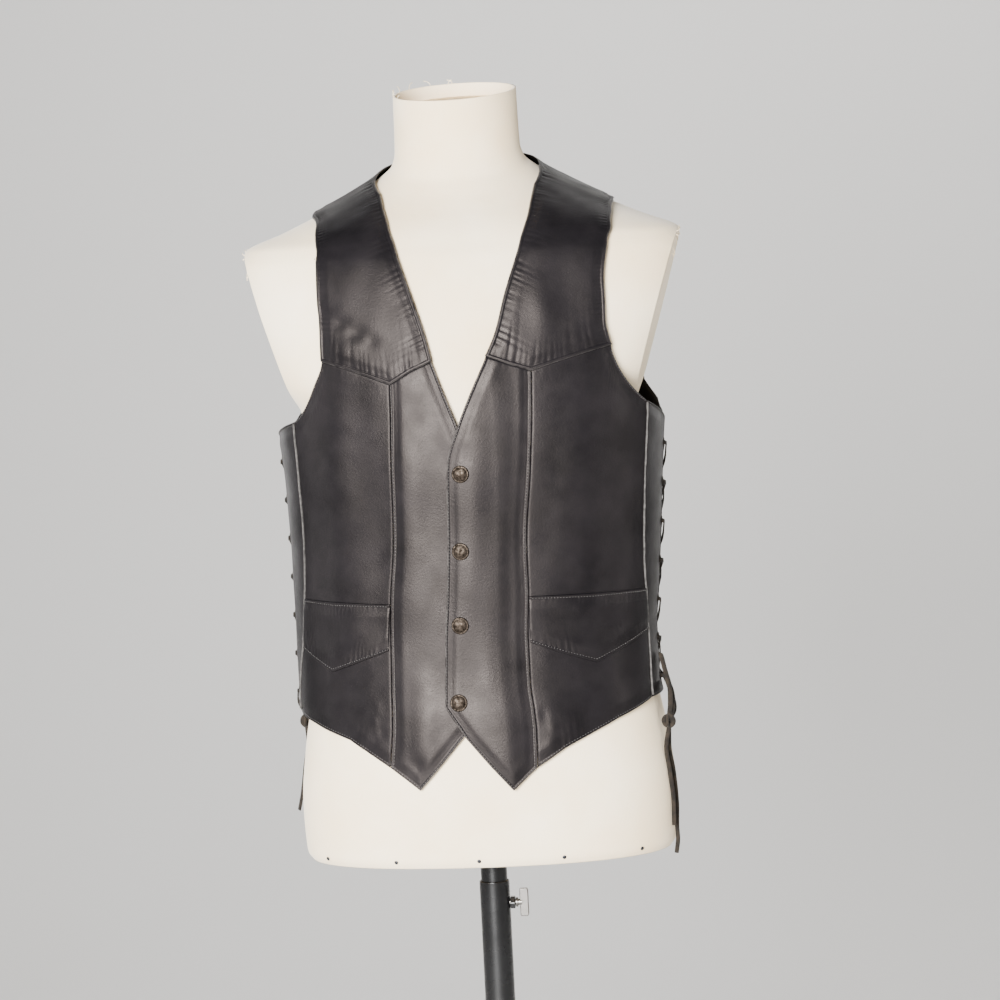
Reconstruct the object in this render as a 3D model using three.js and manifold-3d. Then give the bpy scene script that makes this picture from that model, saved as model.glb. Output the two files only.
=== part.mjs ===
// A lace-sided leather vest worn by a limbless dress form on a telescoping pole stand.
// Millimetres, +Z up. The origin is on the floor under the pole, -Y is the wearer's front
// and +X is the wearer's left. Levels are heights above the floor, and angles are degrees
// round the body from the front (0) over the wearer's left (90) to the back (180).
import * as THREE from 'three';
import { mergeVertices } from 'three/addons/utils/BufferGeometryUtils.js';
import Module from 'manifold-3d';

const wasm = await Module();
wasm.setup();

// Driving sizes of the vest
const WALL = 1.5; // cowhide
const GAP = 0.3; // between two pieces at a seam, or one lying on the other
const LAP_GAP = 0.5; // under a flap or a lapped front, which bridge the folds below them
const SNAP_RADIUS = 8;
const EYELET_BORE = 2.6;
const EYELET_ROWS = 7;
const EYELET_TOP = 1160;
const EYELET_PITCH = 37;
const LACE_RADIUS = 1.2;
const SIDE_EDGE = 88; // free edge of the front's side strip
const BACK_EDGE = 100; // free edge of the back
const EYELET_INSET = 2.6; // degrees from a free edge to its eyelets
const SHOULDER_NECK = 1430; // shoulder seam's level at the neck
const SHOULDER_ARM = { right: 1396, left: 1393.4 }; // and at the armhole
const UNDERARM = 1184; // armhole's lowest level
const BACK_HEM = 918;

// Driving sizes of the dress form and its stand
const FORM_BOTTOM = 776;
const FORM_TOP = 1503;
const SHELL = 7; // padded papier-mache wall
const ARM_CUT_TOP = { x: 208, z: 1363 };
const ARM_CUT_FOOT = { x: 160, z: 1206 };
const PLATE = 4;
const BOARD = 12;
const MAST_RADIUS = 12.7;
const MAST_BORE = 11.2;
const TUBE_RADIUS = 14.5;
const TUBE_TOP = 745;
const BASE_RADIUS = 170;
const SCREW_LEVEL = 723;

// Smooth curve through (keys, values) that never overshoots, level beyond both ends
function smoothCurve(keys, values) {
  const last = keys.length - 1;
  const steps = keys.slice(1).map((key, i) => key - keys[i]);
  const rises = steps.map((step, i) => (values[i + 1] - values[i]) / step);
  const slopes = values.map((_, i) => {
    if (i === 0) return rises[0];
    if (i === last) return rises[last - 1];
    if (rises[i - 1] * rises[i] <= 0) return 0;
    const before = 2 * steps[i] + steps[i - 1];
    const after = steps[i] + 2 * steps[i - 1];
    return (before + after) / (before / rises[i - 1] + after / rises[i]);
  });
  return (key) => {
    if (key <= keys[0]) return values[0];
    if (key >= keys[last]) return values[last];
    let i = 0;
    while (key > keys[i + 1]) i += 1;
    const t = (key - keys[i]) / steps[i];
    const s = 1 - t;
    return values[i] * (1 + 2 * t) * s * s + slopes[i] * steps[i] * t * s * s
      + values[i + 1] * t * t * (3 - 2 * t) - slopes[i + 1] * steps[i] * t * t * s;
  };
}

// A table whose first column is the key; reading it gives the other columns by name
function table(columns, rows) {
  const [, ...names] = columns.split(' ');
  const keys = rows.map((row) => row[0]);
  const curves = names.map((_, i) => smoothCurve(keys, rows.map((row) => row[i + 1])));
  return (key) => Object.fromEntries(names.map((name, i) => [name, curves[i](key)]));
}

// Rings of the dress form: half width, depth to the front and to the back, how far the ring
// tips forward, and how square it is (2 is an ellipse)
const FORM = table('level width front back slope square sway', [
  [776, 173, 110, 106, 0, 2.3, 0],
  [784, 178, 115, 111, 0, 2.3, 0],
  [830, 180, 118, 118, 0, 2.3, 0],
  [880, 175, 117, 117, 0, 2.3, 0],
  [920, 168, 114, 111, 0, 2.3, 0],
  [975, 156, 108, 100, 0, 2.3, 0],
  [1030, 150, 106, 96, 0, 2.3, 0],
  [1085, 150, 110, 101, 0, 2.3, 0],
  [1150, 154, 117, 110, 0, 2.3, 0],
  [1206, 162, 120, 116, 0, 2.3, 0],
  [1230, 181, 121, 117, 0, 2.3, 0],
  [1260, 195, 120, 119, 0, 2.3, 0],
  [1310, 212, 113, 117, 0.02, 2.3, 0],
  [1345, 215, 104, 112, 0.05, 2.3, 0],
  [1363, 208, 97, 108, 0.09, 2.3, 0],
  [1378, 173, 91, 102, 0.14, 2.3, 0],
  [1393, 139, 83, 94, 0.2, 2.25, 0],
  [1410, 104, 72, 84, 0.28, 2.15, 0],
  [1426, 76, 61, 73, 0.34, 2.05, 0],
  [1438, 64, 54, 68, 0.35, 2, 0],
  [1452, 60, 52, 66, 0.32, 2, 0],
  [1503, 58.75, 60, 57, 0.25, 2, 0],
]);

// Rings of the vest's inside, which skims the form and stands off its waist
const VEST = table('level width front back slope square sway', [
  [845, 182, 122, 124, 0, 2.3, -1],
  [900, 176, 120, 121, 0, 2.3, -1],
  [919, 173.6, 119.3, 118.6, 0, 2.3, -2],
  [945, 172, 117.4, 116.2, 0, 2.3, -4],
  [985, 171.9, 116.6, 113.2, 0, 2.3, -4],
  [1030, 174, 118, 112, 0, 2.3, -2],
  [1085, 176.8, 119.8, 114.7, 0, 2.3, 0],
  [1150, 180.6, 124.8, 119.7, 0, 2.3, 1],
  [1184, 183.8, 125.7, 121.5, 0, 2.3, 1],
  [1230, 188.6, 125.7, 123, 0, 2.3, 0],
  [1260, 200.1, 124.2, 123.2, 0, 2.3, 0],
  [1310, 215.8, 117.5, 121.2, 0.019, 2.3, 0],
  [1345, 219, 108.8, 116.4, 0.047, 2.3, 0],
  [1363, 211.5, 100.8, 112.2, 0.083, 2.3, 0],
  [1378, 180.2, 94.7, 106.3, 0.131, 2.3, 0],
  [1393, 145.2, 86.6, 98.6, 0.189, 2.26, 0],
  [1410, 109.8, 75.9, 88.6, 0.269, 2.17, 0],
  [1426, 81.2, 65, 77.5, 0.335, 2.06, 0],
  [1438, 69, 58, 72.7, 0.349, 2, 0],
]);

// Largest soft folds: where they peak, how far they reach each way, and how high they stand
const FOLDS = [
  // angle, spread, level, reach, height
  [-21, 7, 1120, 110, 2.2],
  [-37, 7, 1080, 120, -1.4],
  [4, 8, 1110, 100, 1.5],
  [19, 8, 1070, 120, -1.3],
  [-50, 8, 1140, 60, 2.2],
  [-60, 8, 1080, 60, -1.6],
  [46, 8, 1140, 60, 2],
  [58, 8, 1090, 60, -1.6],
  [-20, 7, 900, 45, 1.8],
  [14, 7, 895, 40, 1.8],
  [34, 8, 880, 35, 2],
  [150, 9, 1090, 90, 3],
  [168, 8, 1010, 80, 2.6],
  [186, 8, 1060, 100, -2.2],
  [204, 8, 1000, 80, 2.8],
  [222, 8, 1110, 80, 2.4],
];

// Edges and seams: the angle of each at a level, on the wearer's right and left
const NECK_EDGE = table('level right left', [
  [1150, 5.6, -4.8],
  [1184, 0.4, 0.4],
  [1246, -8.8, 13.8],
  [1266, -11, 18],
  [1306, -16.9, 23.6],
  [1351, -25.2, 31.8],
  [1376, -31, 37.2],
  [1392, -35.9, 42.4],
  [1407, -43.7, 49.5],
  [1420, -56.3, 62],
  [SHOULDER_NECK, -90, 90],
]);
const ARMHOLE = table('level right left', [
  [1193, -66, 76],
  [1206, -59.3, 67.8],
  [1229, -53.8, 60.5],
  [1251, -50, 56.8],
  [1276, -49.8, 54.8],
  [1309, -50.8, 55.2],
  [1351, -53.6, 58.9],
  [1365, -56, 62],
  [1378, -60.5, 66.8],
  [1387, -65.6, 73.8],
  [1391, -69.6, 80],
  [SHOULDER_ARM.left, -74, 90],
  [SHOULDER_ARM.right, -90, 90],
]);
const FRONT_EDGE = table('level right left', [
  [921, 7.6, -9.9],
  [982, 7, -8.2],
  [1030, 6.4, -7.1],
  [1067, 6, -6.4],
  [1150, 5.6, -4.8],
  [1184, 0.4, 0.4],
  [1246, -8.8, 13.8],
]);
const PRINCESS_SEAM = table('level right left', [
  [870, -34.2, 27],
  [940, -32, 27.8],
  [1022, -31.3, 28],
  [1075, -29.3, 27.2],
  [1136, -27.7, 28.4],
  [1226, -25.6, 30.7],
]);
const SIDE_SEAM = table('level right left', [
  [920, -80, 74],
  [950, -76, 76],
  [992, -70.5, 75.5],
  [1050, -67.5, 71.5],
  [1125, -66, 70.5],
  [1197, -64.5, 71],
]);
const BACK_ARMHOLE = table('level angle', [
  [UNDERARM, BACK_EDGE],
  [1200, 109],
  [1250, 125],
  [1320, 131],
  [1370, 124],
  [1387, 110],
  [SHOULDER_ARM.right, 90],
]);

// What differs between the two fronts: corners as [angle, level], flap points on the seams
const FRONTS = {
  right: {
    turn: -1,
    yokeSeam: [[-8.8, 1245], [-17.2, 1237], [-25.6, 1226], [-37.9, 1238.5], [-50, 1251]],
    centreHem: [[7.6, 921], [-4.1, 896], [-22.4, 850.6], [-34.2, 872]],
    sideHem: [[-34.2, 872], [-50, 897.5], [-66, 911], [-80, 920]],
    flapRoot: [1023.5, 1029],
    flapEdge: [[-32.3, 980.5], [-44, 970.5], [-55.5, 960.5], [-70.6, 982]],
    sideTop: 1196,
    knot: { angle: -99, level: 902 },
  },
  left: {
    turn: 1,
    yokeSeam: [[13.8, 1247], [22.3, 1239.5], [30.7, 1232.4], [44.3, 1243], [56.8, 1253]],
    centreHem: [[-10.2, 926.8], [-1.9, 897], [17.1, 848], [27, 868]],
    sideHem: [[27, 868], [37.6, 884.5], [57.5, 907], [74, 921]],
    flapRoot: [1026, 1024.5],
    flapEdge: [[28.6, 983], [40.5, 971.5], [52.5, 960.5], [75.3, 986]],
    sideTop: 1200,
    knot: { angle: 79, level: 896 },
  },
};
const SNAPS = [[0.8, 1141], [-0.4, 1070], [-1, 1002], [-3.5, 930.5]];

// A point on a ring at a level; the form's and the vest's rings are read the same way
function ringPoint(rings, level, angle) {
  const ring = rings(level);
  const turn = THREE.MathUtils.degToRad(angle);
  const across = Math.sin(turn);
  const forward = Math.cos(turn);
  const depth = forward > 0 ? ring.front : ring.back;
  const power = ring.square;
  const radius = (Math.abs(across / ring.width) ** power
    + Math.abs(forward / depth) ** power) ** (-1 / power);
  const y = -radius * forward;
  const rise = ring.slope * (y - (ring.back - ring.front) / 2);
  return new THREE.Vector3(radius * across + ring.sway, y, level + rise);
}

// The vest's inside with its folds
function vestInside(level, angle) {
  const turn = THREE.MathUtils.degToRad(angle);
  const full = (angle + 360) % 360;
  let fold = 0;
  for (const [peak, spread, middle, reach, height] of FOLDS) {
    const away = (((full - peak) % 360) + 540) % 360 - 180;
    fold += height * Math.exp(-((away / spread) ** 2) - ((level - middle) / reach) ** 2);
  }
  const point = ringPoint(VEST, level, angle);
  point.x += fold * Math.sin(turn);
  point.y -= fold * Math.cos(turn);
  return point;
}

// Outward direction of the surface that place(level, angle) gives
function outward(place, level, angle) {
  const round = place(level, angle + 0.4).sub(place(level, angle - 0.4));
  const up = place(level + 1.5, angle).sub(place(level - 1.5, angle));
  return round.cross(up).normalize();
}

function onVest(level, angle, height) {
  const away = outward(vestInside, level, angle).multiplyScalar(height);
  return vestInside(level, angle).add(away);
}

function onForm(level, angle, height) {
  const place = (l, a) => ringPoint(FORM, l, a);
  return place(level, angle).add(outward(place, level, angle).multiplyScalar(height));
}

function mix(a, b, t) {
  return a + (b - a) * t;
}

// Splits each stretch of a line of [angle, level] corners into the given number of parts
function split(corners, parts) {
  const line = [corners[0]];
  for (let i = 1; i < corners.length; i += 1) {
    for (let k = 1; k <= parts[i - 1]; k += 1) {
      const t = k / parts[i - 1];
      line.push([0, 1].map((axis) => mix(corners[i - 1][axis], corners[i][axis], t)));
    }
  }
  return line;
}

// A line up an edge or seam from one level to another; crowd above 1 closes up its top rows
function climb(edge, side, from, to, parts, crowd = 1) {
  return Array.from({ length: parts + 1 }, (_, i) => {
    const level = mix(to, from, (1 - i / parts) ** crowd);
    return [edge(level)[side], level];
  });
}

// Share of a line's length at each of its points, in [angle, level] space
function shares(line) {
  const lengths = [0];
  for (let i = 1; i < line.length; i += 1) {
    const across = (line[i][0] - line[i - 1][0]) * 2.5;
    lengths.push(lengths[i - 1] + Math.hypot(across, line[i][1] - line[i - 1][1]));
  }
  return lengths.map((length) => length / lengths[lengths.length - 1]);
}

// Fills a panel between its four edges: rows from the bottom up, [angle, level] points
function fill(bottom, top, start, end) {
  const across = shares(bottom).map((share, i) => (share + shares(top)[i]) / 2);
  const upward = shares(start).map((share, j) => (share + shares(end)[j]) / 2);
  return upward.map((v, j) => across.map((u, i) => [0, 1].map((k) => {
    const corners = (1 - u) * ((1 - v) * bottom[0][k] + v * top[0][k])
      + u * ((1 - v) * end[0][k] + v * end[end.length - 1][k]);
    return (1 - v) * bottom[i][k] + v * top[i][k] + (1 - u) * start[j][k] + u * end[j][k] - corners;
  })));
}

// A leather panel: its inner and outer points, drawn back from its neighbours by half a gap.
// lift(angle) raises it where it laps over another. Angles may run either way.
function leather(rows, lift = () => 0) {
  const runsLeft = rows[0][rows[0].length - 1][0] > rows[0][0][0];
  const grid = runsLeft ? rows : rows.map((row) => [...row].reverse());
  const inner = grid.map((row) => row.map(([angle, level]) => onVest(level, angle, lift(angle))));
  const outer = grid.map((row) => row.map(
    ([angle, level]) => onVest(level, angle, lift(angle) + WALL),
  ));
  for (const sheet of [inner, outer]) drawBack(sheet, GAP / 2);
  return wallBetween(inner, outer);
}

// Moves a sheet's border points towards the next row or column in
function drawBack(sheet, distance) {
  const step = (point, next) => point.add(next.clone().sub(point).setLength(distance));
  const last = sheet.length - 1;
  for (const row of sheet) {
    const end = row.length - 1;
    step(row[0], row[1]);
    step(row[end], row[end - 1]);
  }
  for (let i = 0; i < sheet[0].length; i += 1) {
    step(sheet[0][i], sheet[1][i]);
    step(sheet[last][i], sheet[last - 1][i]);
  }
}

function fromPoints(points, triangles) {
  const geometry = new THREE.BufferGeometry();
  const numbers = points.flatMap((p) => [p.x, p.y, p.z]);
  geometry.setAttribute('position', new THREE.Float32BufferAttribute(numbers, 3));
  geometry.setIndex(triangles.flat());
  return geometry;
}

// Closed wall between two sheets of points, rows from the bottom up
function wallBetween(inner, outer) {
  const high = inner.length;
  const wide = inner[0].length;
  const points = [...inner.flat(), ...outer.flat()];
  const out = high * wide;
  const at = (j, i) => j * wide + i;
  const triangles = [];
  for (let j = 0; j + 1 < high; j += 1) {
    for (let i = 0; i + 1 < wide; i += 1) {
      const [a, b, c, d] = [at(j, i), at(j, i + 1), at(j + 1, i + 1), at(j + 1, i)];
      triangles.push([out + a, out + b, out + c], [out + a, out + c, out + d]);
      triangles.push([a, c, b], [a, d, c]);
    }
  }
  const rim = [];
  for (let i = 0; i + 1 < wide; i += 1) rim.push(at(0, i));
  for (let j = 0; j + 1 < high; j += 1) rim.push(at(j, wide - 1));
  for (let i = wide - 1; i > 0; i -= 1) rim.push(at(high - 1, i));
  for (let j = high - 1; j > 0; j -= 1) rim.push(at(j, 0));
  rim.forEach((a, k) => {
    const b = rim[(k + 1) % rim.length];
    triangles.push([a, b, out + b], [a, out + b, out + a]);
  });
  return fromPoints(points, triangles);
}

// Closed solid through a stack of rings, from the lowest up
function loft(rings) {
  const wide = rings[0].length;
  const points = rings.flat();
  const triangles = [];
  for (let j = 0; j + 1 < rings.length; j += 1) {
    for (let i = 0; i < wide; i += 1) {
      const a = j * wide + i;
      const b = j * wide + ((i + 1) % wide);
      triangles.push([a, b, b + wide], [a, b + wide, a + wide]);
    }
  }
  const lastFirst = (rings.length - 1) * wide;
  for (const [ring, first, up] of [[rings[0], 0, false], [rings.at(-1), lastFirst, true]]) {
    const middle = ring.reduce((sum, p) => sum.add(p), new THREE.Vector3()).divideScalar(wide);
    points.push(middle);
    for (let i = 0; i < wide; i += 1) {
      const [a, b] = [first + i, first + ((i + 1) % wide)];
      triangles.push(up ? [points.length - 1, a, b] : [points.length - 1, b, a]);
    }
  }
  return fromPoints(points, triangles);
}

function toSolid(geometry) {
  const bare = geometry.clone();
  bare.deleteAttribute('normal');
  bare.deleteAttribute('uv');
  const merged = mergeVertices(bare);
  return new wasm.Manifold(new wasm.Mesh({
    numProp: 3,
    vertProperties: Float32Array.from(merged.attributes.position.array),
    triVerts: Uint32Array.from(merged.index.array),
  }));
}

function toGeometry(solid) {
  const { vertProperties, triVerts } = solid.getMesh();
  const geometry = new THREE.BufferGeometry();
  geometry.setAttribute('position', new THREE.BufferAttribute(vertProperties, 3));
  geometry.setIndex(new THREE.BufferAttribute(triVerts, 1));
  return geometry;
}

// Turns a shape made along +Z so that it points along a direction, and puts it at a place
function aim(geometry, direction, place) {
  const turn = new THREE.Quaternion().setFromUnitVectors(new THREE.Vector3(0, 0, 1), direction);
  return geometry.applyQuaternion(turn).translate(place.x, place.y, place.z);
}

// A turned shape about +Z from its outline of [radius, height] points
function turned(outline, segments) {
  const points = outline.map(([radius, height]) => new THREE.Vector2(radius, height));
  return new THREE.LatheGeometry(points, segments).rotateX(Math.PI / 2);
}

// A round strand from point to point, for the lace, which turns sharply at its eyelets
function sweep(points, sides) {
  const ways = points.map((_, i) => {
    const [before, after] = [points[Math.max(i - 1, 0)], points[Math.min(i + 1, points.length - 1)]];
    return after.clone().sub(before).normalize();
  });
  let side = new THREE.Vector3(0, 0, 1).cross(ways[0]).normalize();
  return loft(points.map((point, i) => {
    side = side.clone().addScaledVector(ways[i], -side.dot(ways[i])).normalize();
    const third = ways[i].clone().cross(side);
    return Array.from({ length: sides }, (_, k) => {
      const turn = (k / sides) * 2 * Math.PI;
      return point.clone()
        .addScaledVector(side, LACE_RADIUS * Math.cos(turn))
        .addScaledVector(third, LACE_RADIUS * Math.sin(turn));
    });
  }));
}

// A round strand along a smooth curve
function strand(points, steps, sides) {
  const curve = new THREE.CatmullRomCurve3(points, false, 'centripetal');
  const section = new THREE.Shape();
  for (let i = 0; i < sides; i += 1) {
    const turn = (i / sides) * 2 * Math.PI;
    const [x, y] = [LACE_RADIUS * Math.cos(turn), LACE_RADIUS * Math.sin(turn)];
    if (i === 0) section.moveTo(x, y);
    else section.lineTo(x, y);
  }
  section.closePath();
  return new THREE.ExtrudeGeometry(section, { steps, extrudePath: curve, curveSegments: 1 });
}

const FINISHES = {
  leather: { color: '#1d1c1f', roughness: 0.42, metalness: 0 },
  metal: { color: '#8a7a66', roughness: 0.35, metalness: 1 },
  thong: { color: '#5a4e43', roughness: 0.85, metalness: 0 },
  cotton: { color: '#efe6d2', roughness: 0.9, metalness: 0 },
  board: { color: '#b9a27c', roughness: 0.8, metalness: 0 },
  enamel: { color: '#17161a', roughness: 0.3, metalness: 0.4 },
  chrome: { color: '#c9cacc', roughness: 0.15, metalness: 1 },
};

const object = new THREE.Group();

function add(name, geometry, finish) {
  const mesh = new THREE.Mesh(geometry, new THREE.MeshStandardMaterial(FINISHES[finish]));
  mesh.name = name;
  object.add(mesh);
}

// Vest: the left front laps over the right, so it rises before the snaps
function frontLap(angle) {
  const t = THREE.MathUtils.clamp((25 - angle) / 10, 0, 1);
  return (WALL + LAP_GAP) * t * t * (3 - 2 * t);
}

// Round hole across the leather, for an eyelet
function punch(level, angle) {
  const hole = new THREE.CylinderGeometry(EYELET_BORE + 1, EYELET_BORE + 1, 8, 6);
  hole.rotateX(Math.PI / 2);
  return toSolid(aim(hole, outward(vestInside, level, angle), onVest(level, angle, 0)));
}

const eyeletLevels = Array.from({ length: EYELET_ROWS }, (_, i) => EYELET_TOP - i * EYELET_PITCH);

function punched(geometry, angles) {
  let solid = toSolid(geometry);
  for (const angle of angles) {
    for (const level of eyeletLevels) solid = solid.subtract(punch(level, angle));
  }
  return toGeometry(solid);
}

// Eyelet: a barrel through the leather with a rolled flange on the outside
const EYELET_OUTLINE = [
  [EYELET_BORE, -0.3],
  [EYELET_BORE + 0.3, -0.3],
  [EYELET_BORE + 0.3, WALL + 0.5],
  [EYELET_BORE + 1.6, WALL + 0.5],
  [EYELET_BORE, WALL + 1.1],
  [EYELET_BORE, -0.3],
];

// Rows close up towards the shoulder, where the surface turns over
const SHOULDER_CROWD = 1.7;

function buildFront(side) {
  const front = FRONTS[side];
  const [rowsUp, yokeRows] = [12, 9];
  const yokeSeam = split(front.yokeSeam, [3, 3, 3, 3]);
  const [centreTop, sideTopSeam] = [yokeSeam.slice(0, 7), yokeSeam.slice(6)];
  const princess = climb(PRINCESS_SEAM, side, front.centreHem.at(-1)[1], front.yokeSeam[2][1], rowsUp);
  const edge = climb(FRONT_EDGE, side, front.centreHem[0][1], front.yokeSeam[0][1], rowsUp);
  const seamTop = [SIDE_SEAM(front.sideTop)[side], front.sideTop];
  const underarm = climb(ARMHOLE, side, front.yokeSeam[4][1], front.sideTop, 3);
  const sideSeam = climb(SIDE_SEAM, side, front.sideHem.at(-1)[1], front.sideTop, rowsUp);
  const lift = side === 'left' ? frontLap : undefined;

  for (const [line, end, corner] of [
    [princess, 0, front.centreHem.at(-1)], [princess, rowsUp, front.yokeSeam[2]],
    [edge, 0, front.centreHem[0]], [edge, rowsUp, front.yokeSeam[0]],
    [sideSeam, 0, front.sideHem.at(-1)], [underarm, 0, front.yokeSeam[4]], [underarm, 3, seamTop],
  ]) line[end] = corner;

  add(`${side}_front_centre`, leather(
    fill(split(front.centreHem, [2, 2, 2]), centreTop, edge, princess),
    lift,
  ), 'leather');

  add(`${side}_front_side`, leather(
    fill(split(front.sideHem, [4, 3, 2]), [...sideTopSeam, ...underarm.slice(1)], princess, sideSeam),
  ), 'leather');

  const neck = climb(NECK_EDGE, side, front.yokeSeam[0][1], SHOULDER_NECK, yokeRows, SHOULDER_CROWD);
  const arm = climb(ARMHOLE, side, front.yokeSeam[4][1], SHOULDER_ARM[side], yokeRows, SHOULDER_CROWD);
  neck[0] = front.yokeSeam[0];
  arm[0] = front.yokeSeam[4];
  const shoulder = yokeSeam.map((_, i) => {
    const share = shares(yokeSeam)[i];
    return [90 * front.turn, mix(SHOULDER_NECK, SHOULDER_ARM[side], share)];
  });
  add(`${side}_yoke`, leather(fill(yokeSeam, shoulder, neck, arm)), 'leather');

  const stripEdge = climb(() => ({ [side]: SIDE_EDGE * front.turn }), side, 923, UNDERARM, rowsUp);
  const stripHem = split([front.sideHem.at(-1), stripEdge[0]], [3]);
  const stripTop = split([seamTop, stripEdge[rowsUp]], [3]);
  const strip = leather(fill(stripHem, stripTop, sideSeam, stripEdge));
  add(`${side}_side_strip`, punched(strip, [(SIDE_EDGE - EYELET_INSET) * front.turn]), 'leather');

  const [rootIn, rootOut] = front.flapRoot;
  const root = split([[PRINCESS_SEAM(rootIn)[side], rootIn], [SIDE_SEAM(rootOut)[side], rootOut]], [9]);
  const flapEdge = split(front.flapEdge, [2, 3, 4]);
  const [flapStart, flapEnd] = [0, 9].map((end) => split([flapEdge[end], root[end]], [2]));
  const flap = fill(flapEdge, root, flapStart, flapEnd);
  add(`${side}_pocket_flap`, leather(flap, () => WALL + LAP_GAP), 'leather');
}

// The back: up each side edge and armhole to the shoulder seam, then across the neck
function buildBack() {
  const [left, right] = ['left', 'right'].map((side) => [
    ...climb(() => ({ angle: BACK_EDGE }), 'angle', BACK_HEM, UNDERARM, 9),
    ...climb(BACK_ARMHOLE, 'angle', UNDERARM, SHOULDER_ARM[side], 10, SHOULDER_CROWD).slice(1, -1),
    [90, SHOULDER_ARM[side]],
  ].map(([angle, level]) => [side === 'left' ? angle : 360 - angle, level]));
  const top = split([
    [90, SHOULDER_ARM.left], [90, SHOULDER_NECK], [270, SHOULDER_NECK], [270, SHOULDER_ARM.right],
  ], [3, 12, 3]);
  const hem = split([[BACK_EDGE, BACK_HEM], [360 - BACK_EDGE, BACK_HEM]], [18]);
  const eyelets = [BACK_EDGE + EYELET_INSET, 360 - BACK_EDGE - EYELET_INSET];
  add('back_panel', punched(leather(fill(hem, top, left, right)), eyelets), 'leather');
}

function buildSnaps() {
  const dome = [
    [0, 0], [SNAP_RADIUS, 0], [SNAP_RADIUS, 0.9], [SNAP_RADIUS * 0.88, 1.9],
    [SNAP_RADIUS * 0.5, 2.7], [0, 3],
  ];
  SNAPS.forEach(([angle, level], i) => {
    const seat = onVest(level, angle, frontLap(angle) + WALL + GAP + 0.15);
    add(`snap_cap_${i + 1}`, aim(turned(dome, 12), outward(vestInside, level, angle), seat), 'metal');
  });
}

function buildEyelets(side) {
  const { turn } = FRONTS[side];
  const edges = { front: SIDE_EDGE - EYELET_INSET, back: BACK_EDGE + EYELET_INSET };
  for (const [edge, angle] of Object.entries(edges)) {
    eyeletLevels.forEach((level, i) => {
      const ring = turned(EYELET_OUTLINE, 8);
      const away = outward(vestInside, level, angle * turn);
      add(`eyelet_${side}_${edge}_${i + 1}`, aim(ring, away, vestInside(level, angle * turn)), 'metal');
    });
  }
}

// Lace: out through one edge's eyelet, across the gap and under the other edge, like a shoe.
// Heights are measured from the leather's inside, distances along it in degrees.
const OVER = WALL + 1 + GAP + LACE_RADIUS + 0.2;
const UNDER = -(GAP + LACE_RADIUS + 0.4);
const MIDDLE = (SIDE_EDGE + BACK_EDGE) / 2;
const CROSSING = LACE_RADIUS + GAP; // the two strands pass this far above and below the middle
const LEAD = { level: 930, height: 6.5 }; // where both ends leave the eyelets for the knot
const KNOT = { standoff: 6, core: 4.4, wrap: 3.2, wrapStrand: 2 };
const BOW_LOOPS = [
  // how far a loop leans round the body, stands off and reaches up
  { lean: 3, standoff: 12, reach: 52 },
  { lean: 7, standoff: 9, reach: 36 },
];

function buildLace(side) {
  const { turn, knot } = FRONTS[side];
  const edges = {
    front: { hole: SIDE_EDGE - EYELET_INSET, way: 1 },
    back: { hole: BACK_EDGE + EYELET_INSET, way: -1 },
  };
  const at = (angle, level, height) => onVest(level, angle * turn, height);
  const through = ({ hole, way }, level, down) => [
    at(hole + way * 2.4, level, UNDER),
    at(hole + way * 0.9, level, UNDER),
    at(hole, level, WALL / 2),
    at(hole + way * 0.5, level - down, OVER - 0.3),
    at(hole + way * 1.3, level - 2 * down, OVER),
    at(hole + way * 2.6, level - 3 * down, OVER - 0.4),
  ];
  const weave = (first, height) => {
    const path = [];
    eyeletLevels.forEach((level, i) => {
      const last = i === EYELET_ROWS - 1;
      path.push(...through(edges[(i % 2 === 0) === (first === 'front') ? 'front' : 'back'], level, 1));
      if (last) path.pop();
      else path.push(at(MIDDLE, level - EYELET_PITCH / 2, WALL / 2 + height));
    });
    return path;
  };
  const tie = knotPlace(side);
  const knotAngle = Math.abs(knot.angle);
  const lead = (edge, share) => at(
    mix(edge, knotAngle, share),
    mix(LEAD.level, knot.level + LACE_RADIUS * 4, share),
    LEAD.height,
  );
  const down = weave('front', CROSSING);
  const up = weave('back', -CROSSING);
  const path = [
    tie, lead(SIDE_EDGE, 0.7), lead(SIDE_EDGE, 0.2), ...down.reverse(),
    at(MIDDLE, EYELET_TOP, UNDER),
    ...up, lead(BACK_EDGE, 0.2), lead(BACK_EDGE, 0.7), tie.clone(),
  ];
  let lace = toSolid(sweep(path, 5));
  const away = tie.clone().setZ(0).normalize();
  const core = new THREE.SphereGeometry(KNOT.core, 8, 6);
  lace = lace.add(toSolid(core.translate(tie.x, tie.y, tie.z)));
  for (const axis of [away, away.clone().cross(new THREE.Vector3(0, 0, 1))]) {
    const wrap = new THREE.TorusGeometry(KNOT.wrap, KNOT.wrapStrand, 5, 8);
    lace = lace.add(toSolid(aim(wrap, axis, tie)));
  }
  for (const { lean, standoff, reach } of BOW_LOOPS) {
    const loopAt = (angle, rise, out) => at(knotAngle + angle, knot.level + rise, standoff + out);
    const loop = [
      tie, loopAt(lean * 0.4, reach * 0.35, 0), loopAt(lean, reach * 0.8, 3), loopAt(lean + 1, reach, 2),
      loopAt(lean + 2.2, reach * 0.75, 1), loopAt(lean * 0.8 + 1, reach * 0.3, -1), tie.clone(),
    ];
    lace = lace.add(toSolid(strand(loop, 9, 5)));
  }
  add(`${side}_lace`, toGeometry(lace), 'thong');
}

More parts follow.
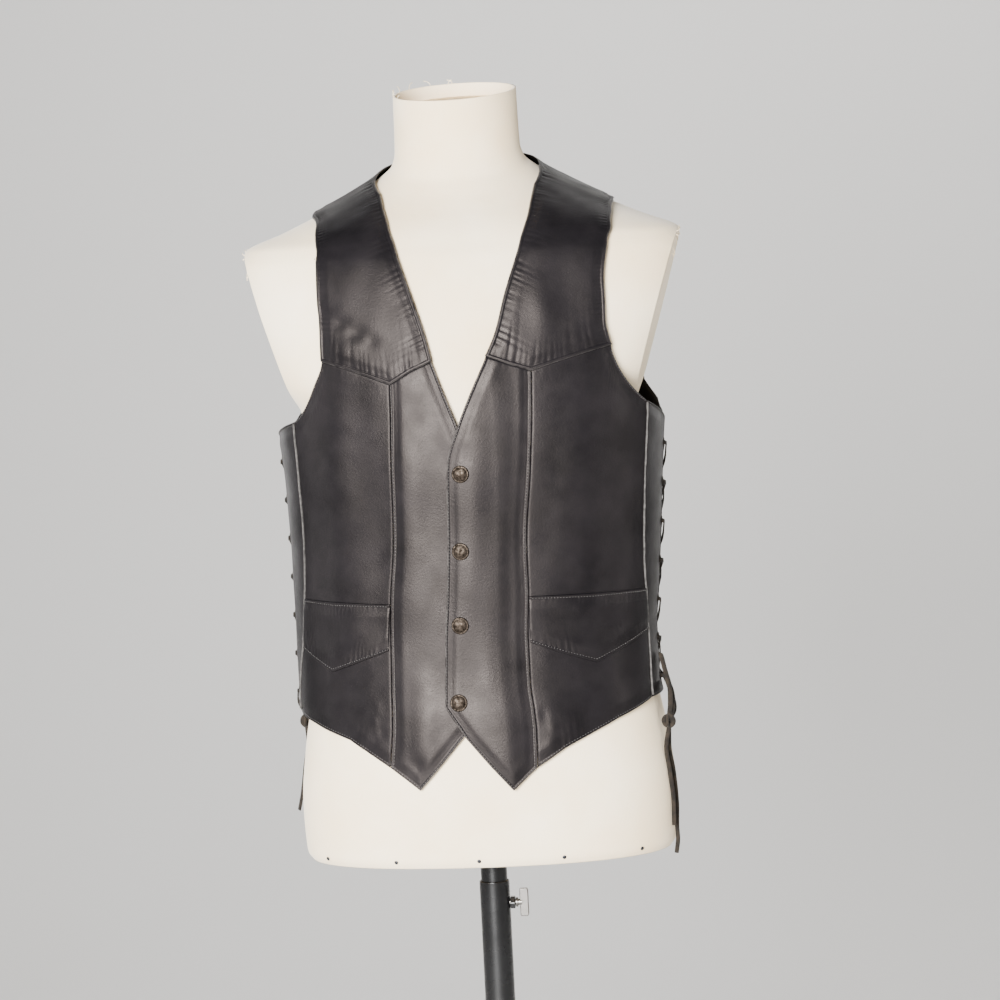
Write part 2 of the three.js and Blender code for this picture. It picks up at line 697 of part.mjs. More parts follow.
// The lace's free ends hang from the knots: [level, angle, distance from the form]
const TAILS = {
  left: [
    [[868, 80, 3.5], [850, 81, 3], [817, 82, 3], [795, 82, 3], [785, 82.5, 4], [769, 84, 6]],
    [[872, 77.5, 3.5], [852, 77.5, 3], [825, 78.5, 3], [798, 79, 3.2]],
  ],
  right: [
    [[880, -97.4, 5.5], [859, -97, 6.5], [832, -97, 9], [816, -97.5, 14]],
    [[880, -100.6, 5], [858, -102, 5], [833, -103, 6], [810, -104, 8]],
  ],
};
const TAIL_START = { spread: 1.4, drop: 5.3 }; // from the middle of the knot, mm

function knotPlace(side) {
  const { knot } = FRONTS[side];
  return onVest(knot.level, knot.angle, KNOT.standoff);
}

function buildTails(side) {
  const { turn } = FRONTS[side];
  TAILS[side].forEach((rows, i) => {
    const start = knotPlace(side).sub(new THREE.Vector3(0, 0, TAIL_START.drop));
    start.y += TAIL_START.spread * (i === 0 ? 1 : -1) * turn;
    const points = rows.map(([level, angle, height]) => onForm(level, angle, height));
    add(`${side}_lace_tail_${i + 1}`, strand([start, ...points], 10, 8), 'thong');
  });
}

// Dress form: a thin padded shell, closed by a board below, plates at the arms and a neck cap
const FORM_LEVELS = [FORM_BOTTOM, FORM_BOTTOM + 8, 820, 880, 930, 975, 1030, 1085, 1150, 1190, 1206,
  1218, 1232, 1260, 1300, 1330, 1350, 1363, 1371, 1380, 1392, 1406, 1420, 1431, 1445, FORM_TOP];

const [BOARD_LOW, CAP_LOW] = [FORM_BOTTOM + 5, FORM_TOP - 17];
const HOLLOW_LEVELS = [FORM_BOTTOM - 10, BOARD_LOW, BOARD_LOW + BOARD, 930, 1030, 1150, 1200, 1218, 1260,
  1330, 1363, 1380, 1406, 1431, CAP_LOW, CAP_LOW + PLATE, FORM_TOP + 8];
const [SHELL_COLUMNS, HOLLOW_COLUMNS] = [30, 20];
const ARM_BLOCK = { beyond: 70, deep: 320, thick: 90 }; // cuts off all that is outside an arm cut

function formRing(level, inset, columns) {
  const { width, front, back, ...others } = FORM(level);
  const smaller = { width: width - inset, front: front - inset, back: back - inset, ...others };
  return Array.from(
    { length: columns },
    (_, i) => ringPoint(() => smaller, level, (i * 360) / columns),
  );
}

function formSolid(levels, inset, columns) {
  return toSolid(loft(levels.map((level) => formRing(level, inset, columns))));
}

// The slab between two distances outside the plane that cuts off an arm, from its foot up
function armSlab(turn, from, to) {
  const foot = new THREE.Vector3(turn * ARM_CUT_FOOT.x, 0, ARM_CUT_FOOT.z);
  const run = new THREE.Vector3(turn * ARM_CUT_TOP.x, 0, ARM_CUT_TOP.z).sub(foot);
  const length = run.length() + ARM_BLOCK.beyond;
  run.normalize();
  const away = new THREE.Vector3(run.z * turn, 0, -run.x * turn);
  const slab = new THREE.BoxGeometry(length, ARM_BLOCK.deep, to - from);
  const middle = foot.addScaledVector(run, length / 2).addScaledVector(away, (from + to) / 2);
  return toSolid(aim(slab, away, middle));
}

function buildForm() {
  const hollow = formSolid(HOLLOW_LEVELS, SHELL, HOLLOW_COLUMNS);
  const core = formSolid(HOLLOW_LEVELS, SHELL + GAP, HOLLOW_COLUMNS);
  let shell = formSolid(FORM_LEVELS, 0, SHELL_COLUMNS).subtract(hollow);
  for (const side of ['right', 'left']) {
    const { turn } = FRONTS[side];
    shell = shell.subtract(armSlab(turn, 0, ARM_BLOCK.thick));
    add(`${side}_arm_plate`, toGeometry(core.intersect(armSlab(turn, -PLATE, 0))), 'cotton');
  }
  add('form_shell', toGeometry(shell), 'cotton');
  const cap = formSolid([CAP_LOW, CAP_LOW + PLATE], SHELL + GAP, HOLLOW_COLUMNS);
  add('neck_cap', toGeometry(cap), 'cotton');

  const board = formSolid([BOARD_LOW, BOARD_LOW + BOARD], SHELL + GAP, HOLLOW_COLUMNS);
  const bore = new THREE.CylinderGeometry(MAST_RADIUS + GAP, MAST_RADIUS + GAP, BOARD * 4, 20);
  bore.rotateX(Math.PI / 2).translate(0, 0, BOARD_LOW);
  add('base_board', toGeometry(board.subtract(toSolid(bore))), 'board');
}

// Stand: outlines are [radius, height], the paddle's is [away from the tube, up]
const SOCKET = { bore: TUBE_RADIUS + GAP, floor: 8, top: 34 };
const FOOT_OUTLINE = [
  [0, 0], [BASE_RADIUS, 0], [BASE_RADIUS, 5], [BASE_RADIUS - 4, 9], [90, 13], [34, 18], [24, 24],
  [22, SOCKET.top], [SOCKET.bore, SOCKET.top], [SOCKET.bore, SOCKET.floor], [0, SOCKET.floor],
];
const [FLANGE_LOW, FLANGE_HIGH] = [FORM_BOTTOM + 1, FORM_BOTTOM + 4.7];
const MAST = { foot: 360, top: 842, flange: 38 };
const MAST_OUTLINE = [
  [MAST_BORE, MAST.foot], [MAST_RADIUS, MAST.foot], [MAST_RADIUS, FLANGE_LOW],
  [MAST.flange, FLANGE_LOW], [MAST.flange, FLANGE_HIGH], [MAST_RADIUS, FLANGE_HIGH],
  [MAST_RADIUS, MAST.top], [MAST_BORE, MAST.top], [MAST_BORE, MAST.foot],
];
const SHANK_OUTLINE = [[0, 0], [3, 0], [3, 7], [4.6, 7.4], [4.6, 8.8], [3, 9.4], [3, 13], [0, 13]];
const PADDLE_OUTLINE = [
  [-4, -13.5], [3, -13.5], [4.2, -12], [4.2, 12], [3, 13.5], [-4, 13.5], [-4.2, 5], [-4.2, -5],
];
const PADDLE = { middle: 28, thick: 4 };
const SCREW_HOLE = { radius: 3.4, length: 30, middle: 15 };
const NUT = { radius: 6.5, length: 4.5, middle: 17.2 };

// A round bar or nut across the pole at the screw's level
function crosswise({ radius, length, middle }, sides) {
  const bar = new THREE.CylinderGeometry(radius, radius, length, sides).rotateZ(Math.PI / 2);
  return toSolid(bar.translate(middle, 0, SCREW_LEVEL));
}

function buildStand() {
  add('stand_base', turned(FOOT_OUTLINE, 32), 'enamel');
  add('mast', turned(MAST_OUTLINE, 20), 'enamel');

  const screwHole = crosswise(SCREW_HOLE, 12);
  const [bore, low] = [MAST_RADIUS + GAP, SOCKET.floor + GAP];
  const tube = [[bore, low], [TUBE_RADIUS, low], [TUBE_RADIUS, TUBE_TOP], [bore, TUBE_TOP], [bore, low]];
  add('outer_tube', toGeometry(toSolid(turned(tube, 24)).subtract(screwHole)), 'enamel');
  add('clamp_nut', toGeometry(crosswise(NUT, 6).subtract(screwHole)), 'enamel');

  const shank = turned(SHANK_OUTLINE, 12).rotateY(Math.PI / 2).translate(bore, 0, SCREW_LEVEL);
  const outline = new THREE.Shape(PADDLE_OUTLINE.map(([x, y]) => new THREE.Vector2(x, y)));
  const paddle = new THREE.ExtrudeGeometry(outline, { depth: PADDLE.thick, bevelEnabled: false });
  paddle.translate(0, 0, -PADDLE.thick / 2).rotateX(Math.PI / 2);
  paddle.translate(PADDLE.middle, 0, SCREW_LEVEL);
  add('thumb_screw', toGeometry(toSolid(shank).add(toSolid(paddle))), 'chrome');
}

for (const side of ['right', 'left']) {
  buildFront(side);
  buildEyelets(side);
  buildLace(side);
  buildTails(side);
}
buildBack();
buildSnaps();
buildForm();
buildStand();

export default object;
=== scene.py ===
import math

import bmesh
import bpy
import numpy as np
from mathutils import Matrix, Vector


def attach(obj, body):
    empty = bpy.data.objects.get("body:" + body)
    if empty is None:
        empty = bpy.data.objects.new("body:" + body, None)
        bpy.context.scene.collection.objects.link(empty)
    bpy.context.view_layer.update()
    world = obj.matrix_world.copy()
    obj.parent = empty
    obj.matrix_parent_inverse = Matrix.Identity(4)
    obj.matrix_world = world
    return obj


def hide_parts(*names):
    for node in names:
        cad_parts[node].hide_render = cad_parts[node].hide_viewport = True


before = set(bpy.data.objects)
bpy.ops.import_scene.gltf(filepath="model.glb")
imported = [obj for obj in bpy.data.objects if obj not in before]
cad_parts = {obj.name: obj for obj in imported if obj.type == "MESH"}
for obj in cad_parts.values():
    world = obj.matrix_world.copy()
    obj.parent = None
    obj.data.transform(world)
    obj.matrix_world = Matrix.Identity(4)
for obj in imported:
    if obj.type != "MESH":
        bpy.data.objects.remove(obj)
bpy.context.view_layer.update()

# The camera stands 2.6 m in front of the vest, six degrees round to the wearer's left, with
# a long lens, and is tipped a little on its side.
CAMERA_DISTANCE, CAMERA_SHIFT, VEST_MIDDLE = 2.6, 0.024, 1.111
around, above, tipped = math.radians(6), math.radians(2), math.radians(2.9)
back = Vector((math.sin(around) * math.cos(above), -math.cos(around) * math.cos(above), math.sin(above)))
right = Vector((math.cos(around), math.sin(around), 0))
up = back.cross(right)
eye = Vector((0, 0, VEST_MIDDLE)) + CAMERA_SHIFT * right + CAMERA_DISTANCE * back
tipped_right = right * math.cos(tipped) - up * math.sin(tipped)
tipped_up = right * math.sin(tipped) + up * math.cos(tipped)
camera = bpy.data.objects.new("camera", bpy.data.cameras.new("camera"))
camera.data.sensor_width = 36
camera.data.lens = 97.5
camera_turn = Matrix((tipped_right, tipped_up, back)).transposed().to_4x4()
camera.matrix_world = Matrix.Translation(eye) @ camera_turn
bpy.context.scene.collection.objects.link(camera)
bpy.context.scene.camera = camera


# A plain pale studio floor that turns up into a plain wall far behind, a large soft lamp beside
# the camera, one at each side, three behind, one for the wall and a low even fill.
def colour(code):
    parts = [int(code[i:i + 2], 16) / 255 for i in (1, 3, 5)]
    return (*[c / 12.92 if c <= 0.04045 else ((c + 0.055) / 1.055) ** 2.4 for c in parts], 1)


def add_node(tree, kind, inputs=(), **settings):
    node = tree.nodes.new("ShaderNode" + kind)
    for name, value in settings.items():
        setattr(node, name, value)
    for name, value in dict(inputs).items():
        if isinstance(value, bpy.types.NodeSocket):
            tree.links.new(value, node.inputs[name])
        else:
            node.inputs[name].default_value = value
    return node


def new_material(name, **sockets):
    material = bpy.data.materials.new(name)
    material.use_nodes = True
    tree = material.node_tree
    shader = tree.nodes["Principled BSDF"]
    for socket, value in sockets.items():
        shader.inputs[socket.replace("_", " ")].default_value = value
    return material, tree, shader


def facing(place, way):
    """Where a thing stands, and turned so that its own Z looks the given way."""
    return Matrix.Translation(place) @ way.to_track_quat("Z", "Y").to_matrix().to_4x4()


def finish_mesh(name, bm, material=None, smooth=True):
    mesh = bpy.data.meshes.new(name)
    bm.to_mesh(mesh)
    bm.free()
    for face in mesh.polygons:
        face.use_smooth = smooth
    if material:
        mesh.materials.append(material)
    thing = bpy.data.objects.new(name, mesh)
    bpy.context.scene.collection.objects.link(thing)
    return thing


floor_paint = new_material("studio_floor", Roughness=0.7, Base_Color=colour("#e4e2df"))[0]
FLOOR_REACH, WIDENED, FLAT_UNTIL, SWEEP = 10, 3, 2.6, 2.2
bm = bmesh.new()
bmesh.ops.create_grid(bm, x_segments=2, y_segments=80, size=FLOOR_REACH)
for vert in bm.verts:
    vert.co.x *= WIDENED
    past = vert.co.y - FLAT_UNTIL
    turned_up = min(max(past / SWEEP, 0), math.pi / 2)
    if past > 0:
        vert.co.y = FLAT_UNTIL + SWEEP * math.sin(turned_up)
        vert.co.z = SWEEP * (1 - math.cos(turned_up)) + max(past - SWEEP * math.pi / 2, 0)
finish_mesh("floor", bm, floor_paint)

world = bpy.data.worlds.new("studio")
world.use_nodes = True
low_fill = world.node_tree.nodes["Background"].inputs
low_fill["Color"].default_value = colour("#d6d5d3")
low_fill["Strength"].default_value = 0.14
bpy.context.scene.world = world
for lamp_name, place, target, size, power in [
    ("key_lamp", (-0.55, -2.9, 1.45), (0, 0, 1.12), (1.1, 1.2), 385),
    ("left_lamp", (-2.3, -0.3, 1.5), (0, 0, 1.1), (0.5, 1.6), 15),
    ("right_lamp", (2.3, -0.5, 1.5), (0, 0, 1.1), (0.5, 1.6), 18),
    ("top_lamp", (0.0, 1.8, 2.9), (0, 0, 1.1), (2.4, 1.2), 4),
    ("left_back_lamp", (-2.0, 1.9, 1.6), (0, 0, 1.1), (0.8, 1.4), 13),
    ("right_back_lamp", (2.0, 1.9, 1.6), (0, 0, 1.1), (0.8, 1.4), 13),
    ("wall_lamp", (0.0, 1.6, 3.4), (0, 4.6, 0.6), (3.0, 0.8), 100),
]:
    lamp = bpy.data.lights.new(lamp_name, "AREA")
    lamp.shape = "RECTANGLE"
    lamp.size, lamp.size_y = size
    lamp.energy = power
    stand = bpy.data.objects.new(lamp_name, lamp)
    stand.matrix_world = facing(place, Vector(place) - Vector(target))
    bpy.context.scene.collection.objects.link(stand)


# Free ends of the side laces: flat suede thong, 4.2 mm wide, hanging from the two knots at the
# hem. They are the lace's own ends, so they are cut square and bare.
THONG_WIDTH, THONG_THICK = 0.0042, 0.0015
TAIL_ROUTES = {  # in tenths of a millimetre
    "right_lace_tail_1": [
        (-1801, 273, 8974), (-1794, 259, 8920), (-1788, 246, 8866), (-1786, 235, 8811),
        (-1792, 230, 8756), (-1804, 228, 8701), (-1816, 227, 8646), (-1827, 227, 8592),
        (-1836, 227, 8536), (-1845, 227, 8481), (-1853, 229, 8426), (-1863, 231, 8371),
        (-1873, 235, 8316), (-1887, 242, 8262), (-1901, 251, 8209), (-1916, 261, 8156)],
    "right_lace_tail_2": [
        (-1801, 301, 8974), (-1784, 312, 8917), (-1768, 323, 8860), (-1758, 335, 8802),
        (-1758, 348, 8744), (-1763, 362, 8686), (-1769, 375, 8627), (-1773, 386, 8569),
        (-1778, 396, 8510), (-1782, 405, 8450), (-1786, 413, 8391), (-1789, 422, 8332),
        (-1790, 431, 8273), (-1790, 441, 8214), (-1789, 451, 8154), (-1788, 460, 8095)],
    "left_lace_tail_1": [
        (1771, -337, 8914), (1767, -330, 8831), (1764, -322, 8749), (1766, -312, 8667),
        (1777, -298, 8586), (1789, -286, 8505), (1795, -277, 8423), (1801, -268, 8341),
        (1804, -261, 8258), (1806, -256, 8176), (1804, -255, 8093), (1799, -256, 8010),
        (1797, -253, 7928), (1800, -240, 7846), (1791, -216, 7767), (1777, -190, 7690)],
    "left_lace_tail_2": [
        (1771, -365, 8914), (1757, -374, 8853), (1744, -382, 8792), (1736, -389, 8729),
        (1737, -393, 8667), (1745, -394, 8604), (1753, -394, 8542), (1759, -390, 8479),
        (1765, -384, 8417), (1771, -377, 8354), (1776, -369, 8292), (1778, -364, 8229),
        (1778, -359, 8166), (1777, -356, 8103), (1775, -352, 8040), (1773, -349, 7977)],
}


def mottled(name, tones, patches, stretch=None, relief=None, **sockets):
    """A material that runs from one tone to another in soft patches, which also raise its relief.
    Returns it with its tree and shader, the object's coordinates and the patches."""
    material, tree, shader = new_material(name, **sockets)
    laid = spot = add_node(tree, "TexCoord").outputs["Object"]
    if stretch:
        laid = add_node(tree, "Mapping", {"Vector": spot, "Scale": stretch}).outputs["Vector"]
    patches = add_node(tree, "TexNoise", {"Vector": laid, **patches}).outputs["Fac"]
    tone = add_node(tree, "ValToRGB", {"Fac": patches})
    for stop, (place, code) in zip(tone.color_ramp.elements, tones):
        stop.position, stop.color = place, colour(code)
    tree.links.new(tone.outputs["Color"], shader.inputs["Base Color"])
    if relief:
        bump = add_node(tree, "Bump", {"Height": patches, "Distance": relief[0], "Strength": relief[1]})
        tree.links.new(bump.outputs["Normal"], shader.inputs["Normal"])
    return material, tree, shader, spot, patches


suede, tree, shader, spot, _ = mottled(
    "suede_thong", [(0.35, "#130f0c"), (0.68, "#2b241c")], {"Scale": 170, "Detail": 4}, Roughness=0.88,
    Sheen_Weight=0.06, Sheen_Roughness=0.5, Specular_IOR_Level=0.25)
nap = add_node(tree, "TexNoise", {"Vector": spot, "Scale": 1500, "Detail": 3})
bump = add_node(tree, "Bump", {"Height": nap.outputs["Fac"], "Distance": 0.0003, "Strength": 0.6})
tree.links.new(bump.outputs["Normal"], shader.inputs["Normal"])


def smooth_route(points, steps):
    points = [Vector(p) for p in points]
    ends = [2 * points[0] - points[1], *points, 2 * points[-1] - points[-2]]
    route = []
    for a, b, c, d in zip(ends, ends[1:], ends[2:], ends[3:]):
        for k in range(steps):
            t = k / steps
            route.append(0.5 * (2 * b + (c - a) * t + (2 * a - 5 * b + 4 * c - d) * t * t
                                + (3 * b - a - 3 * c + d) * t ** 3))
    return [*route, points[-1]]


def thong(bm, route, width=THONG_WIDTH, thick=THONG_THICK, twist=0.0, shown=None):
    """A flat strip with softly rounded edges, its wide side against the body or shown to a way."""
    rings = []
    for i, place in enumerate(route):
        way = (route[min(i + 1, len(route) - 1)] - route[max(i - 1, 0)]).normalized()
        away = shown or Vector((place.x, place.y * 0.5, 0)).normalized()
        wide = way.cross(away)
        if wide.length < 0.2:
            wide = way.cross(Vector((0, 0, 1)))
        wide = (Matrix.Rotation(twist * i / len(route), 3, way) @ wide).normalized()
        if rings and wide.dot(last_wide) < 0:
            wide = -wide
        last_wide = wide if not rings else (wide + 1.5 * last_wide).normalized()
        flat = way.cross(last_wide).normalized()
        axes = Matrix((last_wide * width / 2, flat * thick / 2, way)).transposed().to_4x4()
        seat = Matrix.Translation(place) @ axes
        ring = bmesh.ops.create_circle(bm, segments=8, radius=1, matrix=seat)["verts"]
        for vert in ring:  # squares the oval into a strip
            off = vert.co - place
            across, through = off.dot(last_wide) / (width / 2), off.dot(flat) / (thick / 2)
            grow = 1 / max(abs(across), abs(through), 0.72) ** 0.6
            vert.co = place + last_wide * across * grow * width / 2 + flat * through * grow * thick / 2
        rings.append(ring)
    for low, high in zip(rings, rings[1:]):
        edges = [e for ring in (low, high) for e in {e for v in ring for e in v.link_edges
                                                     if e.other_vert(v) in ring}]
        bmesh.ops.bridge_loops(bm, edges=edges)
    for ring in (rings[0], rings[-1]):
        bmesh.ops.contextual_create(bm, geom=ring)


def to_the_front(turn):
    return Vector((0.3 * turn, -1, 0)).normalized()


for tail_name, route in TAIL_ROUTES.items():
    points = [tuple(v / 10000 for v in point) for point in route]
    bm = bmesh.new()
    thong(bm, smooth_route(points, 3), twist=0.5, shown=to_the_front(math.copysign(1, points[0][0])))
    bmesh.ops.recalc_face_normals(bm, faces=bm.faces)
    tail = finish_mesh(tail_name + "_thong", bm, suede)
    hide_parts(tail_name)
    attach(tail, "figure")


# The stand: a round cast-iron foot with a hub, a steel outer tube and a mast that slides in
# it, all in gloss black enamel. The mast ends in a flange screwed under the form's board.
enamel, tree, shader = new_material("black_enamel", Metallic=0.0, Roughness=0.22, Coat_Weight=0.2,
                                    Coat_Roughness=0.12, Base_Color=colour("#0b0b0c"))
spot = add_node(tree, "TexCoord").outputs["Object"]
dust = add_node(tree, "TexNoise", {"Vector": spot, "Scale": 60, "Detail": 6})
ramp = add_node(tree, "MapRange", {"Value": dust.outputs["Fac"], "To Min": 0.2, "To Max": 0.34})
tree.links.new(ramp.outputs["Result"], shader.inputs["Roughness"])
orange_peel = add_node(tree, "TexNoise", {"Vector": spot, "Scale": 320, "Detail": 2})
bump = add_node(tree, "Bump", {"Height": orange_peel.outputs["Fac"], "Distance": 0.0002, "Strength": 0.25})
tree.links.new(bump.outputs["Normal"], shader.inputs["Normal"])


def thicken(piece, thickness, offset=-1):
    wall = piece.modifiers.new("wall", "SOLIDIFY")
    wall.thickness, wall.offset = thickness, offset


def soften(piece, width, segments=2, **settings):
    rounding = piece.modifiers.new("rounded_edges", "BEVEL")
    rounding.width, rounding.segments = width, segments
    for name, value in settings.items():
        setattr(rounding, name, value)


def turned(name, outline, material, steps=64, bevel=0.0004, place=(0, 0, 0), axis="Z"):
    """Spins a closed outline of (radius, height) round the pole's axis, or round X for a screw."""
    bm = bmesh.new()
    loop = [bm.verts.new((r, 0, h)) for r, h in outline]
    edges = [bm.edges.new(pair) for pair in zip(loop, loop[1:] + loop[:1])]
    bmesh.ops.spin(bm, geom=loop + edges, cent=(0, 0, 0), axis=(0, 0, 1), angle=math.tau, steps=steps,
                   use_merge=True)
    bmesh.ops.remove_doubles(bm, verts=bm.verts, dist=1e-6)
    bmesh.ops.dissolve_degenerate(bm, edges=bm.edges, dist=1e-7)
    bmesh.ops.recalc_face_normals(bm, faces=bm.faces)
    if axis == "X":
        bmesh.ops.rotate(bm, verts=bm.verts, matrix=Matrix.Rotation(math.pi / 2, 3, "Y"))
    bmesh.ops.translate(bm, verts=bm.verts, vec=place)
    piece = finish_mesh(name, bm, material)
    soften(piece, bevel, limit_method="ANGLE", angle_limit=math.radians(32), harden_normals=True)
    return piece


for piece_name, node, body, outline in [
    ("iron_foot", "stand_base", "stand",
     [(0, 0), (0.17, 0), (0.17, 0.005), (0.166, 0.009), (0.13, 0.0112), (0.09, 0.013), (0.06, 0.0148),
      (0.034, 0.018), (0.027, 0.0205), (0.024, 0.024), (0.022, 0.034), (0.0148, 0.034), (0.0148, 0.008),
      (0, 0.008)]),
    ("steel_tube", "outer_tube", "stand",
     [(0.013, 0.0083), (0.0145, 0.0083), (0.0145, 0.7445), (0.0141, 0.745), (0.0134, 0.745),
      (0.013, 0.7446)]),
    ("sliding_mast", "mast", "mast",
     [(0.0112, 0.36), (0.0127, 0.36), (0.0127, 0.777), (0.038, 0.777), (0.038, 0.7807), (0.0127, 0.7807),
      (0.0127, 0.842), (0.0112, 0.842)]),
]:
    piece = turned(piece_name, outline, enamel)
    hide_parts(node)
    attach(piece, body)

# Clamp: a hexagon nut welded on the tube, and a plated thumb screw with a collar and a flat
# paddle head that presses on the mast.
SCREW_LEVEL = 0.723
bm = bmesh.new()
bmesh.ops.create_cone(bm, cap_ends=True, segments=6, radius1=0.0065, radius2=0.0065, depth=0.0045)
bmesh.ops.rotate(bm, verts=bm.verts, matrix=Matrix.Rotation(math.pi / 2, 3, "Y"))
bmesh.ops.translate(bm, verts=bm.verts, vec=(0.0172, 0, SCREW_LEVEL))
nut = finish_mesh("welded_nut", bm, enamel, smooth=False)
soften(nut, 0.0005)
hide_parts("clamp_nut")
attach(nut, "stand")

plated, tree, shader = new_material("plated_steel", Metallic=1.0, Roughness=0.2,
                                    Base_Color=colour("#75726e"))
spot = add_node(tree, "TexCoord").outputs["Object"]
smudge = add_node(tree, "TexNoise", {"Vector": spot, "Scale": 350, "Detail": 4})
ramp = add_node(tree, "MapRange", {"Value": smudge.outputs["Fac"], "To Min": 0.26, "To Max": 0.45})
tree.links.new(ramp.outputs["Result"], shader.inputs["Roughness"])
collared = [(0, 0.001), (0.003, 0.001), (0.003, 0.007), (0.0046, 0.0074), (0.0046, 0.0088), (0.003, 0.0094),
            (0.003, 0.013), (0, 0.013)]
shank = turned("thumb_screw_shank", collared, plated, 32, 0.0002, (0.013, 0, SCREW_LEVEL), "X")
bm = bmesh.new()
corners = [(-4, -13.5), (3, -13.5), (4.2, -12), (4.2, 12), (3, 13.5), (-4, 13.5), (-4.2, 5), (-4.2, -5)]
paddle = bm.faces.new([bm.verts.new((0.028 + x / 1000, -0.002, SCREW_LEVEL + z / 1000)) for x, z in corners])
grown = bmesh.ops.extrude_face_region(bm, geom=[paddle])["geom"]
bmesh.ops.translate(bm, verts=[v for v in grown if isinstance(v, bmesh.types.BMVert)], vec=(0, 0.004, 0))
bmesh.ops.recalc_face_normals(bm, faces=bm.faces)
paddle = finish_mesh("thumb_screw_paddle", bm, plated)
soften(paddle, 0.0009, 3, harden_normals=True)
for piece in (shank, paddle):
    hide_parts("thumb_screw")
    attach(piece, "screw")

# The dress form: a hollow papier-mache torso with thin padding, covered in cream cotton
# that is turned in at the neck and cut off raw at the arms. Rings are read from one table of
# level, half width, depth to the front and back, slope and squareness, in millimetres.
FORM_RINGS = [
    (776, 173, 110, 106, 0, 2.3, 0), (784, 178, 115, 111, 0, 2.3, 0), (830, 180, 118, 118, 0, 2.3, 0),
    (880, 175, 117, 117, 0, 2.3, 0), (920, 168, 114, 111, 0, 2.3, 0), (975, 156, 108, 100, 0, 2.3, 0),
    (1030, 150, 106, 96, 0, 2.3, 0), (1085, 150, 110, 101, 0, 2.3, 0), (1150, 154, 117, 110, 0, 2.3, 0),
    (1206, 162, 120, 116, 0, 2.3, 0), (1230, 181, 121, 117, 0, 2.3, 0), (1260, 195, 120, 119, 0, 2.3, 0),
    (1310, 212, 113, 117, 0.02, 2.3, 0), (1345, 215, 104, 112, 0.05, 2.3, 0),
    (1363, 208, 97, 108, 0.09, 2.3, 0),
    (1378, 173, 91, 102, 0.14, 2.3, 0), (1393, 139, 83, 94, 0.2, 2.25, 0),
    (1410, 104, 72, 84, 0.28, 2.15, 0), (1426, 76, 61, 73, 0.34, 2.05, 0), (1438, 64, 54, 68, 0.35, 2, 0),
    (1452, 60, 52, 66, 0.32, 2, 0), (1503, 58.75, 60, 57, 0.25, 2, 0),
]


def smooth_curve(keys, values):
    """A smooth curve through the given points that never swings past them."""
    keys, values = np.array(keys, float), np.array(values, float)
    steps, rises = np.diff(keys), np.diff(values) / np.diff(keys)
    slopes = np.empty(len(keys))
    slopes[0], slopes[-1] = rises[0], rises[-1]
    for i in range(1, len(keys) - 1):
        if rises[i - 1] * rises[i] <= 0:
            slopes[i] = 0
        else:
            before, after = 2 * steps[i] + steps[i - 1], steps[i] + 2 * steps[i - 1]
            slopes[i] = (before + after) / (before / rises[i - 1] + after / rises[i])

    def read(key):
        key = np.clip(key, keys[0], keys[-1])
        i = np.clip(np.searchsorted(keys, key, side="right") - 1, 0, len(steps) - 1)
        t = (key - keys[i]) / steps[i]
        s = 1 - t
        return (values[i] * (1 + 2 * t) * s * s + slopes[i] * steps[i] * t * s * s
                + values[i + 1] * t * t * (3 - 2 * t) - slopes[i + 1] * steps[i] * t * t * s)
    return read


def table(rows):
    keys, *columns = zip(*rows)
    return [smooth_curve(keys, column) for column in columns]


def ring_point(rings, level, angle):
    """Points in millimetres at a level and an angle from the front, over the wearer's left."""
    width, front, rear, slope, square, sway = [curve(level) for curve in rings]
    across, forward = np.sin(np.radians(angle)), np.cos(np.radians(angle))
    depth = np.where(forward > 0, front, rear)
    radius = (np.abs(across / width) ** square + np.abs(forward / depth) ** square) ** (-1 / square)
    y = -radius * forward
    rise = slope * (y - (rear - front) / 2)
    return np.stack([radius * across + sway, y, level + rise], -1)


def outward(place, level, angle):
    along = place(level, angle + 0.4) - place(level, angle - 0.4)
    rising = place(level + 1.5, angle) - place(level - 1.5, angle)
    way = np.cross(along, rising)
    return way / np.linalg.norm(way, axis=-1, keepdims=True)


def laid_grid(rows, columns, points):
    """A grid of rows by columns whose vertices are put at the given points, in metres."""
    bm = bmesh.new()
    bmesh.ops.create_grid(bm, x_segments=columns - 1, y_segments=rows - 1, size=0.5)
    bm.verts.ensure_lookup_table()
    spots = np.array([v.co[:2] for v in bm.verts])
    i = np.rint((spots[:, 0] + 0.5) * (columns - 1)).astype(int)
    j = np.rint((spots[:, 1] + 0.5) * (rows - 1)).astype(int)
    for vert, place in zip(bm.verts, points[j, i] / 1000):
        vert.co = place
    return bm, j, i


form_rings = table(FORM_RINGS)


def on_form(level, angle):
    return ring_point(form_rings, level, angle)


